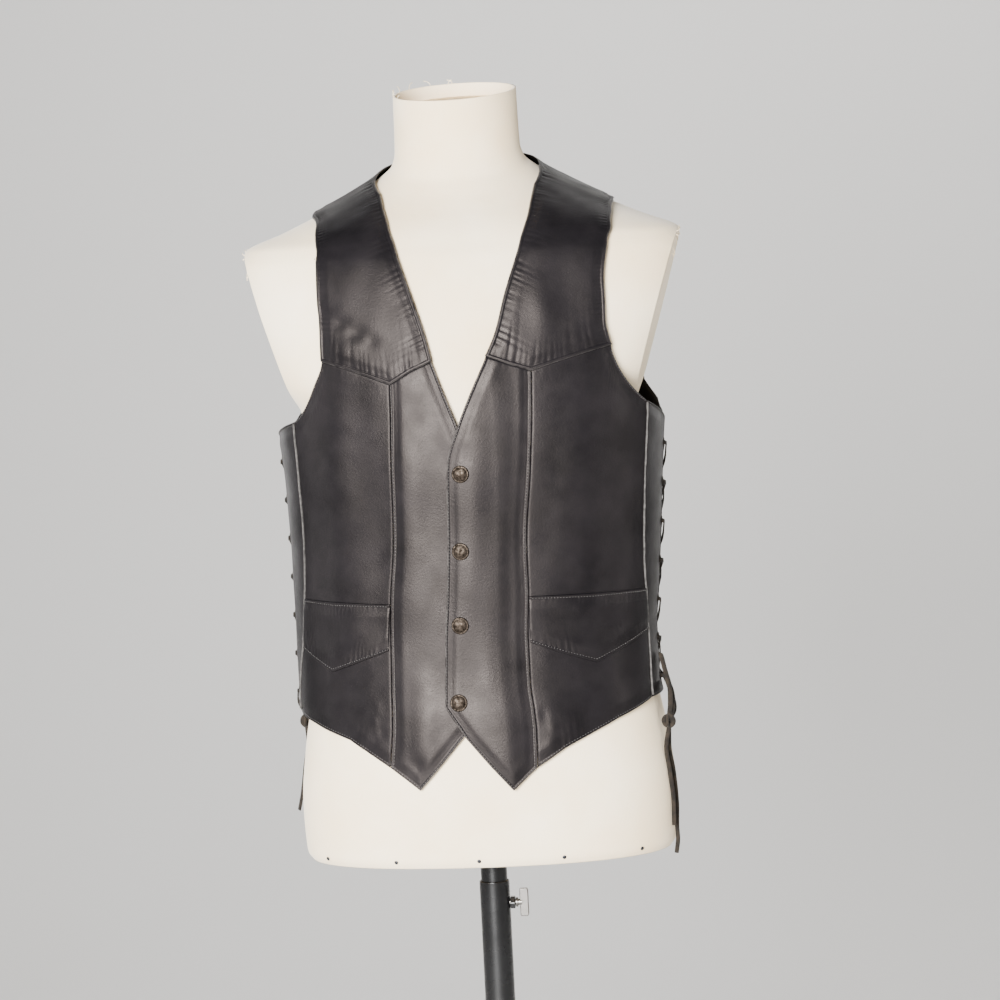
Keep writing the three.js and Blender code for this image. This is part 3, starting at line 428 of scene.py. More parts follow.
form_levels = np.unique(np.concatenate([
    [776, 777.2, 779, 782, 786], np.linspace(791, 1200, 70), np.linspace(1205, 1440, 90),
    np.linspace(1446, 1499, 16), [1501, 1502.3, 1503]]))
form_angles = np.linspace(-180, 180, 145)
levels, angles = np.meshgrid(form_levels, form_angles, indexing="ij")
skin = on_form(levels, angles)
lumps = (0.35 * np.sin(levels / 23 + 2 * np.sin(np.radians(angles * 2)))
         + 0.3 * np.sin(np.radians(angles * 5) + levels / 61))
skin += outward(on_form, levels, angles) * (lumps * (levels > 1210) * 0.5)[..., None]
bm = laid_grid(*levels.shape, skin)[0]
bmesh.ops.remove_doubles(bm, verts=bm.verts, dist=1e-5)
ARM_CUT_TOP, ARM_CUT_FOOT = (0.208, 1.363), (0.160, 1.206)
for way in (1, -1):
    foot = Vector((way * ARM_CUT_FOOT[0], 0, ARM_CUT_FOOT[1]))
    run = Vector((way * ARM_CUT_TOP[0], 0, ARM_CUT_TOP[1])) - foot
    away = Vector((run.z * way, 0, -run.x * way)).normalized()
    near = [f for f in bm.faces if f.calc_center_median().x * way > 0.1 and f.calc_center_median().z > 1.19]
    geom = near + list({e for f in near for e in f.edges}) + list({v for f in near for v in f.verts})
    bmesh.ops.bisect_plane(bm, geom=geom, plane_co=foot, plane_no=away, clear_outer=True)
    rim = [e for e in bm.edges if e.is_boundary and e.verts[0].co.x * way > 0.1
           and 1.15 < e.verts[0].co.z < 1.45]
    for edge in rim:
        edge.smooth = False
    cap = bmesh.ops.contextual_create(bm, geom=rim)["faces"]
    bmesh.ops.inset_region(bm, faces=cap, thickness=0.004, depth=0)
bmesh.ops.recalc_face_normals(bm, faces=bm.faces)

cotton, tree, shader, spot, _ = mottled(
    "cream_cotton", [(0.3, "#f5dcb2"), (0.7, "#ffeed0")], {"Scale": 9, "Detail": 5, "Roughness": 0.55},
    Roughness=0.86, Sheen_Weight=0.25)
crossing = add_node(tree, "Math", operation="MULTIPLY")
for i, turn in enumerate(((0, 0, 0), (0, math.pi / 2, 0))):
    threads = add_node(tree, "Mapping", {"Vector": spot, "Rotation": turn})
    wave = add_node(tree, "TexWave", {"Vector": threads.outputs["Vector"], "Scale": 260, "Distortion": 1.2,
                                      "Detail": 2, "Detail Scale": 3}, bands_direction="X")
    tree.links.new(wave.outputs["Fac"], crossing.inputs[i])
bump = add_node(tree, "Bump", {"Height": crossing.outputs["Value"], "Distance": 0.00025, "Strength": 0.35})
tree.links.new(bump.outputs["Normal"], shader.inputs["Normal"])
torso = finish_mesh("cotton_torso", bm, cotton)
thicken(torso, 0.0026)
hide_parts("form_shell", "left_arm_plate", "right_arm_plate")
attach(torso, "figure")

# The neck is closed by a disc of board under the same cotton, sunk below the rim and a little
# domed.
bm = bmesh.new()
bmesh.ops.create_circle(bm, segments=96, radius=1, cap_ends=True)
disc = bm.faces[:]
for inset in (0.06, 0.25):
    bmesh.ops.inset_region(bm, faces=disc, thickness=inset, use_even_offset=False)
DISC_LEVEL, DISC_SHARE, DISC_RISE = 1490.0, 0.944, 0.0008
for vert in bm.verts:
    angle = math.degrees(math.atan2(vert.co.x, -vert.co.y))
    reach = math.hypot(vert.co.x, vert.co.y)
    rim = on_form(np.array(DISC_LEVEL), np.array(angle))
    middle = np.array([0, 0, DISC_LEVEL])
    place = middle + (rim - middle) * (reach * DISC_SHARE)
    vert.co = Vector(place / 1000) + Vector((0, 0, DISC_RISE * (1 - reach)))
neck_disc = finish_mesh("neck_disc", bm, cotton)
thicken(neck_disc, 0.003)
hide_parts("neck_cap")
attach(neck_disc, "figure")

# Tacks: twelve small blued nails hold the cotton to the board's edge, one in the very middle of
# the front.
blued = mottled("blued_tack", [(0, "#1b1c20"), (1, "#4d4f55")], {"Scale": 900, "Detail": 3}, Metallic=1.0,
                Roughness=0.35)[0]
TACKS, TACK_LEVEL, TACK_SIZE = 12, np.array(783.0), (0.0019, 0.0019, 0.0008)
turns = np.linspace(0, 360, 2881)
round_rim = on_form(np.full(turns.shape, float(TACK_LEVEL)), turns)
walked = np.concatenate([[0], np.cumsum(np.linalg.norm(np.diff(round_rim, axis=0), axis=-1))])
bm = bmesh.new()
for i in range(TACKS):
    turn = np.array(np.interp(walked[-1] * i / TACKS, walked, turns))
    away = Vector(outward(on_form, TACK_LEVEL, turn))
    seat = facing(Vector(on_form(TACK_LEVEL, turn) / 1000) + away * 0.0003, away)
    bmesh.ops.create_uvsphere(bm, u_segments=16, v_segments=8, radius=1,
                              matrix=seat @ Matrix.Diagonal((*TACK_SIZE, 1)))
tacks = finish_mesh("tacks", bm, blued)
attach(tacks, "figure")

# Frayed ends: where the cotton is cut off at the neck and at the arms, single threads a few
# millimetres long have come loose and stand off the edge.
bm = bmesh.new()
for turn, rise, lean in ((-95, 4, 2), (-84, 6, -2), (-71, 8, -3), (-60, 3, 3), (-110, 5, 3), (-125, 7, -3),
                         (-150, 5, 4), (-168, 4, -2), (188, 4, 3)):
    root = Vector(on_form(np.array(1502.6), np.array(float(turn)))) / 1000
    side_way = Vector((math.cos(math.radians(turn)), math.sin(math.radians(turn)), 0)) * lean / 1000
    route = [root + Vector((0, 0, rise * up_share / 1000)) + side_way * aside
             for up_share, aside in ((0, 0), (0.5, 0.2), (0.9, 1), (1, 1.8))]
    thong(bm, smooth_route(route, 3), 0.0007, 0.0004)
for way in (1, -1):
    for y, fall, out, droop in (
        (-0.030, 2, 2, -1), (-0.024, 0.5, 3, 2), (-0.018, 3, 1.5, -3), (-0.013, 1, 2.5, 3),
        (-0.008, 5, 2, -4), (-0.003, 0, 2, 2), (0.002, 8, 2.5, -3), (0.007, 1, 3, 1), (0.012, 11, 1.5, -4),
        (0.02, 3, 2.5, -2), (-0.034, 13, 1.5, -5), (-0.038, 16, 1.5, -3), (0.03, 6, 2, 3),
    ):
        root = Vector((way * (0.2065 - 0.0003 * fall), y, 1.362 + 0.09 * y - 0.001 * fall - 4.5 * y * y))
        route = [root + Vector((way * out * a / 1000, b / 1000, droop * c / 1000))
                 for a, b, c in ((0, 0, 0), (0.4, 0.6, 0.3), (0.8, 1.4, 0.7), (0.9, 2.2, 1.3))]
        thong(bm, smooth_route(route, 3), 0.0009, 0.0005)
bmesh.ops.recalc_face_normals(bm, faces=bm.faces)
threads = finish_mesh("frayed_threads", bm, cotton)
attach(threads, "figure")

# The board that closes the hem end is the source's own solid, in planed birch plywood whose
# grain runs across the body.
plywood = mottled("plywood", [(0.35, "#a2865c"), (0.65, "#c6ab7d")],
                  {"Scale": 3, "Detail": 8, "Distortion": 0.6}, (6, 60, 60), (0.0003, 0.3), Roughness=0.7)[0]
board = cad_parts["base_board"]
board.data.materials.clear()
board.data.materials.append(plywood)

# The vest's shape: the same rings and soft folds as its panels were cut for, from which every
# point on its outside is read as a level, an angle and a height above its lining side.
VEST_RINGS = [
    (845, 182, 122, 124, 0, 2.3, -1), (900, 176, 120, 121, 0, 2.3, -1),
    (919, 173.6, 119.3, 118.6, 0, 2.3, -2), (945, 172, 117.4, 116.2, 0, 2.3, -4),
    (985, 171.9, 116.6, 113.2, 0, 2.3, -4), (1030, 174, 118, 112, 0, 2.3, -2),
    (1085, 176.8, 119.8, 114.7, 0, 2.3, 0), (1150, 180.6, 124.8, 119.7, 0, 2.3, 1),
    (1184, 183.8, 125.7, 121.5, 0, 2.3, 1), (1230, 188.6, 125.7, 123, 0, 2.3, 0),
    (1260, 200.1, 124.2, 123.2, 0, 2.3, 0), (1310, 215.8, 117.5, 121.2, 0.019, 2.3, 0),
    (1345, 219, 108.8, 116.4, 0.047, 2.3, 0), (1363, 211.5, 100.8, 112.2, 0.083, 2.3, 0),
    (1378, 180.2, 94.7, 106.3, 0.131, 2.3, 0), (1393, 145.2, 86.6, 98.6, 0.189, 2.26, 0),
    (1410, 109.8, 75.9, 88.6, 0.269, 2.17, 0), (1426, 81.2, 65, 77.5, 0.335, 2.06, 0),
    (1438, 69, 58, 72.7, 0.349, 2, 0),
]
FOLDS = [  # angle, spread, level, reach, height
    (-21, 7, 1120, 110, 2.2), (-37, 7, 1080, 120, -1.4), (4, 8, 1110, 100, 1.5), (19, 8, 1070, 120, -1.3),
    (-50, 8, 1140, 60, 2.2), (-60, 8, 1080, 60, -1.6), (46, 8, 1140, 60, 2), (58, 8, 1090, 60, -1.6),
    (-20, 7, 900, 45, 1.8), (14, 7, 895, 40, 1.8), (34, 8, 880, 35, 2), (150, 9, 1090, 90, 3),
    (168, 8, 1010, 80, 2.6), (186, 8, 1060, 100, -2.2), (204, 8, 1000, 80, 2.8), (222, 8, 1110, 80, 2.4),
]
WALL, GAP, LAP_GAP = 1.5, 0.3, 0.5
vest_rings = table(VEST_RINGS)


def vest_inside(level, angle):
    fold = np.zeros(np.broadcast(level, angle).shape)
    for peak, spread, middle, reach, height in FOLDS:
        away = np.mod(np.asarray(angle) - peak + 540, 360) - 180
        fold = fold + height * np.exp(-(away / spread) ** 2 - ((level - middle) / reach) ** 2)
    place = ring_point(vest_rings, level, angle)
    place[..., 0] += fold * np.sin(np.radians(angle))
    place[..., 1] -= fold * np.cos(np.radians(angle))
    return place


def on_vest(level, angle, height):
    level, angle, height = np.broadcast_arrays(*[np.asarray(x, float) for x in (level, angle, height)])
    return vest_inside(level, angle) + outward(vest_inside, level, angle) * height[..., None]


# The leather of the vest: black smooth cowhide, fine-grained, softly shining, rubbed grey on
# its turned edges. An attribute that follows the hide says how far it is rubbed.
leather, tree, shader, spot, _ = mottled(
    "black_cowhide", [(0.32, "#0d0c0e"), (0.7, "#191719")], {"Scale": 22, "Detail": 5, "Roughness": 0.6},
    Roughness=0.4, Specular_IOR_Level=0.18, Specular_Tint=colour("#fff0e6"))
rubbed = add_node(tree, "Attribute", attribute_name="rubbed").outputs["Fac"]
rubbing = add_node(tree, "TexNoise", {"Vector": spot, "Scale": 160, "Detail": 4})
rub_amount = add_node(tree, "MapRange", {"Value": rubbing.outputs["Fac"], "From Min": 0.3, "From Max": 0.6})
worn = add_node(tree, "Math", {0: rubbed, 1: rub_amount.outputs["Result"]}, operation="MULTIPLY")
mixed = add_node(tree, "Mix", {"Factor": worn.outputs["Value"]}, data_type="RGBA")
tree.links.new(shader.inputs["Base Color"].links[0].from_socket, mixed.inputs[6])
mixed.inputs[7].default_value = colour("#77726e")
tree.links.new(mixed.outputs[2], shader.inputs["Base Color"])
gloss = add_node(tree, "TexNoise", {"Vector": spot, "Scale": 45, "Detail": 6})
gloss_range = add_node(tree, "MapRange", {"Value": gloss.outputs["Fac"], "From Min": 0.3, "From Max": 0.7,
                                          "To Min": 0.33, "To Max": 0.46})
tree.links.new(gloss_range.outputs["Result"], shader.inputs["Roughness"])
pores = add_node(tree, "TexVoronoi", {"Vector": spot, "Scale": 1150}, feature="DISTANCE_TO_EDGE")
creases = add_node(tree, "TexNoise", {"Vector": spot, "Scale": 520, "Detail": 5, "Roughness": 0.6})
grain = add_node(tree, "Math", {0: pores.outputs["Distance"], 1: 0.5}, operation="MULTIPLY")
grain = add_node(tree, "Math", {0: grain.outputs["Value"], 1: creases.outputs["Fac"]}, operation="ADD")
bump = add_node(tree, "Bump", {"Height": grain.outputs["Value"], "Distance": 0.00035, "Strength": 0.42})
tree.links.new(bump.outputs["Normal"], shader.inputs["Normal"])


def seam_line(corners):
    """A line through (angle, level) corners, read by the share of its length. It keeps the shares
    at which its corners lie."""
    corners = np.array(corners, float)
    lengths = np.concatenate([[0], np.cumsum(np.hypot(np.diff(corners[:, 0]) * 2.5, np.diff(corners[:, 1])))])
    share = lengths / lengths[-1]

    def read(t):
        return np.stack([np.interp(t, share, corners[:, 0]), np.interp(t, share, corners[:, 1])], -1)
    read.share = share
    return read


def climb(edge, low, high, first=None, last=None, parts=60):
    """The corners of an edge that rises from one level to another."""
    levels = np.linspace(low, high, parts + 1)
    points = np.stack([edge(levels), levels], -1)
    if first is not None:
        points[0] = first
    if last is not None:
        points[-1] = last
    return points


CLOSE_LINES = [0, 0.6, 1.2, 1.9, 2.6, 3.5, 4.8, 6.6, 8.8]
FIRST_WIDE = 11.5


def close_lines(length, corners=(), step=3.0):
    """Shares of a length where the grid's lines run: close at both edges, wider in between."""
    near = np.array(CLOSE_LINES)
    inner = np.linspace(FIRST_WIDE, length - FIRST_WIDE, max(int((length - 2 * FIRST_WIDE) / step), 1) + 1)
    lines = np.concatenate([near, inner, length - near[::-1]]) / length
    for corner in corners:
        lines = np.append(lines[np.abs(lines - corner) > 0.9 / length], corner)
    return np.sort(lines)


def coons(bottom, top, start, end, us, vs):
    """Spreads a panel evenly between its four lines."""
    b, t, s, e = bottom(us)[None], top(us)[None], start(vs)[:, None], end(vs)[:, None]
    u, v = us[None, :, None], vs[:, None, None]
    flat = (1 - u) * ((1 - v) * bottom(0.0) + v * top(0.0)) + u * ((1 - v) * bottom(1.0) + v * top(1.0))
    return (1 - v) * b + v * t + (1 - u) * s + u * e - flat


def uneven(along, seed):
    """A wandering value between 0 and 1 along a seam."""
    waves = [math.sin(seed * k) * np.sin(along / span + seed * k * k)
             for k, span in ((1.3, 31), (2.1, 17.3), (3.7, 10.9), (5.3, 6.7))]
    return np.clip(0.45 + 0.42 * sum(waves), 0, 1)


def ripple(along, pitch, seed):
    """Uneven gathers along a seam: small round puffs with sharp creases between them."""
    drift = (2.6 * np.sin(along / 17 + seed) + 1.6 * np.sin(along / 7.3 + 2 * seed)
             + 0.8 * np.sin(along / 4.1 + 3 * seed))
    puff = np.abs(np.sin(math.pi * along / pitch + drift / 2)) ** 0.8
    return (0.4 + 0.75 * uneven(along, seed + 0.7)) * (1.7 * puff - 1.2)


def beside(points, line):
    """How far each point is from an edge line, and how far along the edge it lies."""
    steps = np.diff(line, axis=0)
    lengths = np.linalg.norm(steps, axis=-1)
    starts = np.concatenate([[0], np.cumsum(lengths)])
    away, along = np.full(points.shape[:-1], np.inf), np.zeros(points.shape[:-1])
    for first, step, length, start in zip(line, steps, lengths, starts):
        share = np.clip((points - first) @ step / length ** 2, 0, 1)
        gap = np.linalg.norm(points - first - share[..., None] * step, axis=-1)
        nearer = gap < away
        away[nearer], along[nearer] = gap[nearer], (start + share * length)[nearer]
    return away, along


EDGE_DROP, EDGE_REACH, HIDE_THICK = -0.9, 18.0, 0.0011
EDGE_PROFILE = smooth_curve([*CLOSE_LINES, 12, EDGE_REACH],
                            [EDGE_DROP, 0.05, 0.3, 0.1, -0.6, -0.4, -0.25, -0.15, 0.25, 0.6, 0.5])
LAPPED_PROFILE = smooth_curve([0, 1.2, 2.6, 4.8, 8.8, EDGE_REACH], [EDGE_DROP, -0.15, 0, 0, 0, 0])
STITCH_PITCH, STITCH_LENGTH, STITCH_RADIUS, SEWN_LINE, INNER_LINE = 2.9, 1.5, 0.36, 4, 6
stitches = {"right": bmesh.new(), "left": bmesh.new(), "back": bmesh.new()}


def stitch_row(bm, line, inner):
    """Small stitches laid along a line of surface points; inner is the next line into the panel."""
    lengths = np.concatenate([[0], np.cumsum(np.linalg.norm(np.diff(line, axis=0), axis=-1))])
    for start in np.arange(3.0, lengths[-1] - 3.0, STITCH_PITCH):
        here, ahead, across = [
            np.array([np.interp(s, lengths, points[:, k]) for k in range(3)])
            for s, points in ((start, line), (start + STITCH_LENGTH, line), (start, inner))]
        along = Vector(ahead - here).normalized()
        away = along.cross(Vector(across - here)).normalized()
        if away.dot(Vector((here[0], here[1], 0))) < 0:
            away = -away
        turn = Matrix((along, away.cross(along), away)).transposed().to_4x4()
        middle = Vector((here + ahead) / 2000) + away * 0.00012
        size = Matrix.Diagonal((STITCH_LENGTH / 2000, STITCH_RADIUS / 1000, STITCH_RADIUS / 1000, 1))
        seat = Matrix.Translation(middle) @ turn @ size
        bmesh.ops.create_icosphere(bm, subdivisions=1, radius=1, matrix=seat)


def cut_panel(name, node, outline, size, flat, stitched, rubbed, gathers=(), corners=(), dents=(), lift=0.0,
              step=3.0):
    """A panel of cowhide between four lines, drawn in half a seam's gap from its neighbours, with
    gathers and dents. An edge is turned and stitched from the given share of its length on, and
    elsewhere it is lapped by its neighbour."""
    us, vs = close_lines(size[0], corners, step), close_lines(size[1], (), step)
    spread = coons(*outline, us, vs)
    angle, level = spread[..., 0], spread[..., 1]
    raised = lift(angle) if callable(lift) else lift
    skin = on_vest(level, angle, raised + WALL)
    rims = {"bottom": (skin[0], us), "top": (skin[-1], us), "start": (skin[:, 0], vs),
            "end": (skin[:, -1], vs)}
    near_edge = {edge_name: beside(skin, line) for edge_name, (line, shares) in rims.items()}
    turned_in, lapped = np.full(level.shape, EDGE_REACH), np.full(level.shape, EDGE_REACH)
    for edge_name, (line, shares) in rims.items():
        first = stitched.get(edge_name, 1.0)
        for part, nearest in ((shares >= first, turned_in), (shares <= first, lapped)):
            if part.all():
                np.minimum(nearest, near_edge[edge_name][0], out=nearest)
            elif part.sum() > 1:
                np.minimum(nearest, beside(skin, line[part])[0], out=nearest)
    height = np.maximum(EDGE_PROFILE(turned_in) + LAPPED_PROFILE(lapped), EDGE_DROP)
    worn_rim = np.zeros(level.shape)
    for edge_name, amount in rubbed.items():
        worn_rim = np.maximum(worn_rim, amount * np.clip((1.0 - near_edge[edge_name][0]) / 0.7, 0, 1))
    for edge_name, pitch, depth, reach, seed in gathers:
        near, along = near_edge[edge_name]
        ends = ("bottom", "top")
        if edge_name in ends:
            along = np.broadcast_to(along[0 if edge_name == "bottom" else -1], near.shape)
            ends = ("start", "end")
        corner = np.min([near_edge[end][0] for end in ends], axis=0)
        length = reach * (0.35 + 1.1 * uneven(along * 1.3, seed + 2.9))
        fading = np.exp(-(near / length) ** 1.5) * np.clip((near - 1.2) / 2.5, 0, 1)
        height += depth * ripple(along + 0.15 * near, pitch, seed) * fading * np.clip(corner / 14, 0, 1)
    for peak, mid, spread_u, spread_v, deep in dents:
        height += deep * np.exp(-((angle - peak) / spread_u) ** 2 - ((level - mid) / spread_v) ** 2)
    height += 0.22 * np.sin(angle / 3.1 + level / 29 + size[0]) * np.sin(level / 17 - angle / 6.3)
    skin = on_vest(level, angle, raised + WALL + height)
    crossed = skin.swapaxes(0, 1)
    for i, j in ((0, 1), (-1, -2)):
        for lines in (skin, crossed):
            step_in = lines[j] - lines[i]
            lines[i] += GAP / 2 * step_in / np.linalg.norm(step_in, axis=-1, keepdims=True)
    inward = {"bottom": skin, "top": skin[::-1], "start": crossed, "end": crossed[::-1]}
    for edge_name, first in stitched.items():
        part = rims[edge_name][1] >= first
        lines = inward[edge_name]
        stitch_row(stitches[name.split("_")[0]], lines[SEWN_LINE][part], lines[INNER_LINE][part])
    bm, j, i = laid_grid(len(vs), len(us), skin)
    bm.normal_update()
    bm.faces.ensure_lookup_table()
    middle = bm.faces[len(bm.faces) // 2]
    if middle.normal.dot(Vector((*middle.calc_center_median()[:2], 0))) < 0:
        bmesh.ops.reverse_faces(bm, faces=bm.faces)
    panel = finish_mesh(name, bm, leather)
    wear = panel.data.attributes.new("rubbed", "FLOAT", "POINT")
    wear.data.foreach_set("value", worn_rim[j, i].astype(np.float32))
    thicken(panel, HIDE_THICK)
    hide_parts(node)
    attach(panel, "figure")
    width, length, area = flat


# The edges and seams of the pattern: for each level, the angle on the wearer's right and left.
NECK_EDGE = [(1150, 5.6, -4.8), (1184, 0.4, 0.4), (1246, -8.8, 13.8), (1266, -11, 18), (1306, -16.9, 23.6),
             (1351, -25.2, 31.8), (1376, -31, 37.2), (1392, -35.9, 42.4), (1407, -43.7, 49.5),
             (1420, -56.3, 62), (1430, -90, 90)]
ARMHOLE = [(1193, -66, 76), (1206, -59.3, 67.8), (1229, -53.8, 60.5), (1251, -50, 56.8),
           (1276, -49.8, 54.8), (1309, -50.8, 55.2), (1351, -53.6, 58.9), (1365, -56, 62),
           (1378, -60.5, 66.8), (1387, -65.6, 73.8), (1391, -69.6, 80), (1393.4, -74, 90), (1396, -90, 90)]
FRONT_EDGE = [(921, 7.6, -9.9), (982, 7, -8.2), (1030, 6.4, -7.1), (1067, 6, -6.4), (1150, 5.6, -4.8),
              (1184, 0.4, 0.4), (1246, -8.8, 13.8)]
PRINCESS_SEAM = [(870, -34.2, 27), (940, -32, 27.8), (1022, -31.3, 28), (1075, -29.3, 27.2),
                 (1136, -27.7, 28.4), (1226, -25.6, 30.7)]
SIDE_SEAM = [(920, -80, 74), (950, -76, 76), (992, -70.5, 75.5), (1050, -67.5, 71.5), (1125, -66, 70.5),
             (1197, -64.5, 71)]
BACK_ARMHOLE = [(1184, 100), (1200, 109), (1250, 125), (1320, 131), (1370, 124), (1387, 110), (1396, 90)]
SIDE_EDGE, BACK_EDGE, BACK_HEM, UNDERARM = 88, 100, 918, 1184
SHOULDER_NECK, SHOULDER_ARM = 1430, {"right": 1396, "left": 1393.4}

FRONTS = {
    "right": {
        "turn": -1, "column": 0,
        "yoke_seam": [(-8.8, 1245), (-17.2, 1237), (-25.6, 1226), (-37.9, 1238.5), (-50, 1251)],
        "centre_hem": [(7.6, 921), (-4.1, 896), (-22.4, 850.6), (-34.2, 872)],
        "side_hem": [(-34.2, 872), (-50, 897.5), (-66, 911), (-80, 920)],
        "flap_root": (1023.5, 1029),
        "flap_edge": [(-32.3, 980.5), (-44, 970.5), (-55.5, 960.5), (-70.6, 982)],
        "side_top": 1196, "knot": (-99, 902),
    },
    "left": {
        "turn": 1, "column": 1,
        "yoke_seam": [(13.8, 1247), (22.3, 1239.5), (30.7, 1232.4), (44.3, 1243), (56.8, 1253)],
        "centre_hem": [(-10.2, 926.8), (-1.9, 897), (17.1, 848), (27, 868)],
        "side_hem": [(27, 868), (37.6, 884.5), (57.5, 907), (74, 921)],
        "flap_root": (1026, 1024.5),
        "flap_edge": [(28.6, 983), (40.5, 971.5), (52.5, 960.5), (75.3, 986)],
        "side_top": 1200, "knot": (79, 896),
    },
}


def front_lap(angle):
    """How far the left centre front is lifted to lie over the right one."""
    t = np.clip((25 - angle) / 10, 0, 1)
    return (WALL + LAP_GAP) * t * t * (3 - 2 * t)


# Small crumples where each side front has been folded near the hem: angle, level, spread
# round the body, spread up and height.
CRUMPLES = {
    "right": [(-37, 905, 1.6, 6, -0.5), (-39.5, 915, 1.4, 5, 0.4), (-40, 896, 1.7, 5, -0.4),
              (-38, 927, 1.4, 6, 0.3), (-43, 890, 2.0, 4, -0.4), (-48, 940, 5, 26, -1.1),
              (-57, 955, 4, 22, 0.9)],
    "left": [(31, 915, 1.6, 7, -0.6), (33.5, 903, 1.6, 6, 0.5), (36, 893, 1.8, 6, -0.5),
             (32, 890, 1.5, 6, 0.3), (46, 935, 5, 24, -1.1), (58, 950, 4, 22, 0.9)],
}

# Soft folds in the yokes: one slants down from the armhole on the wearer's right, and the other
# yoke hangs in two upright waves.
YOKE_DENTS = {
    "right": [(-48, 1293, 3, 8, -1.1), (-43, 1285, 3.5, 8, -1.4), (-37.5, 1275, 3.5, 8, -1.4),
              (-32, 1266, 3, 8, -1.0), (-40, 1260, 6, 9, 0.9), (-38, 1345, 9, 16, 0.6)],
    "left": [(45, 1300, 5, 30, -1.1), (36, 1285, 4, 28, 0.8), (52, 1280, 4, 24, 0.6), (38, 1345, 9, 16, 0.6)],
}

# Each front: a centre and a side panel joined by a long princess seam, a pointed yoke over the
# shoulder, a strip outside the raw-edged side seam for the eyelets, and a pointed pocket flap.
for side, front in FRONTS.items():
    column, turn = front["column"], front["turn"]
    princess, front_edge, side_seam, armhole, neck_edge = [
        table(rows)[column] for rows in (PRINCESS_SEAM, FRONT_EDGE, SIDE_SEAM, ARMHOLE, NECK_EDGE)]
    yoke_seam, centre_hem, side_hem = front["yoke_seam"], front["centre_hem"], front["side_hem"]
    seam_up = climb(princess, centre_hem[-1][1], yoke_seam[2][1], centre_hem[-1], yoke_seam[2])
    edge_up = climb(front_edge, centre_hem[0][1], yoke_seam[0][1], centre_hem[0], yoke_seam[0])
    side_top = (float(side_seam(front["side_top"])), front["side_top"])
    side_up = climb(side_seam, side_hem[-1][1], front["side_top"], side_hem[-1])
    underarm = climb(armhole, yoke_seam[4][1], front["side_top"], yoke_seam[4], side_top, 12)

    bottom, top = seam_line(centre_hem), seam_line(yoke_seam[:3])
    cut_panel(
        f"{side}_centre_front_hide", f"{side}_front_centre",
        (bottom, top, seam_line(edge_up), seam_line(seam_up)), (100, 360), (0.105, 0.4, 0.029),
        stitched={"bottom": 0, "start": 0, "end": 0}, rubbed={"bottom": 0.7, "start": 0.8, "end": 0.4},
        gathers=[("start", 4.3, 0.14, 7, 1.0), ("end", 3.6, 0.35, 8, 2.0), ("top", 5.5, 0.4, 9, 3.0)],
        corners=(*bottom.share[1:-1], *top.share[1:-1]),
        dents=[(-23, 872, 3.4, 9, -1.5)] if side == "right" else [],
        lift=front_lap if side == "left" else 0.0, step=1.7)

    bottom, top = seam_line(side_hem), seam_line([*yoke_seam[2:], *underarm[1:]])
    cut_panel(
        f"{side}_side_front_hide", f"{side}_front_side",
        (bottom, top, seam_line(seam_up), seam_line(side_up)), (120, 340), (0.135, 0.37, 0.042),
        stitched={"bottom": 0, "top": top.share[2]}, rubbed={"bottom": 0.25},
        gathers=[("top", 5.0, 0.5, 11, 5.0), ("bottom", 6.0, 0.45, 11, 6.0)],
        corners=(*bottom.share[1:-1], top.share[1], top.share[2]), dents=CRUMPLES[side], step=1.7)

    neck_up = climb(neck_edge, yoke_seam[0][1], SHOULDER_NECK, yoke_seam[0])
    arm_up = climb(armhole, yoke_seam[4][1], SHOULDER_ARM[side], yoke_seam[4], parts=120)
    bottom = seam_line(yoke_seam)
    shoulder = seam_line([(90 * turn, SHOULDER_NECK), (90 * turn, SHOULDER_ARM[side])])
    cut_panel(
        f"{side}_yoke_hide", f"{side}_yoke",
        (bottom, shoulder, seam_line(neck_up), seam_line(arm_up)), (115, 240), (0.13, 0.24, 0.021),
        stitched={"bottom": 0, "start": 0, "end": 0}, rubbed={"bottom": 0.22, "start": 0.4, "end": 0.4},
        gathers=[("bottom", 5.6, 0.6, 10, 7.0), ("bottom", 9.7, 0.5, 18, 2.2), ("start", 5.6, 0.4, 8, 8.0),
                 ("start", 9.1, 0.4, 13, 4.4), ("end", 4.1, 0.5, 8, 9.0)],
        corners=bottom.share[1:-1], dents=YOKE_DENTS[side], step=1.3)

    strip_edge = [(SIDE_EDGE * turn, 923), (SIDE_EDGE * turn, UNDERARM)]
    cut_panel(
        f"{side}_side_strip_hide", f"{side}_side_strip",
        (seam_line([side_hem[-1], strip_edge[0]]), seam_line([side_top, strip_edge[1]]),
         seam_line(side_up), seam_line(strip_edge)), (45, 275), (0.078, 0.285, 0.016),
        stitched={"bottom": 0, "top": 0, "end": 0}, rubbed={"end": 0.2},
        gathers=[("start", 5, 0.25, 7, 2.5)])

    root = [(float(seam(level)), level) for seam, level in zip((princess, side_seam), front["flap_root"])]
    flap_edge = front["flap_edge"]
    bottom = seam_line(flap_edge)
    cut_panel(
        f"{side}_flap_hide", f"{side}_pocket_flap",
        (bottom, seam_line(root), seam_line([flap_edge[0], root[0]]), seam_line([flap_edge[-1], root[1]])),
        (100, 55), (0.115, 0.07, 0.0067), stitched={"bottom": 0, "top": 0}, rubbed={},
        gathers=[("bottom", 4.6, 1.1, 12, 1.5), ("top", 4.3, 1.0, 9, 3.5)], corners=bottom.share[1:-1],
        dents=[(46 * turn, 1002, 4, 16, 0.9), (57 * turn, 995, 4, 14, -0.7)], lift=WALL + LAP_GAP, step=1.3)

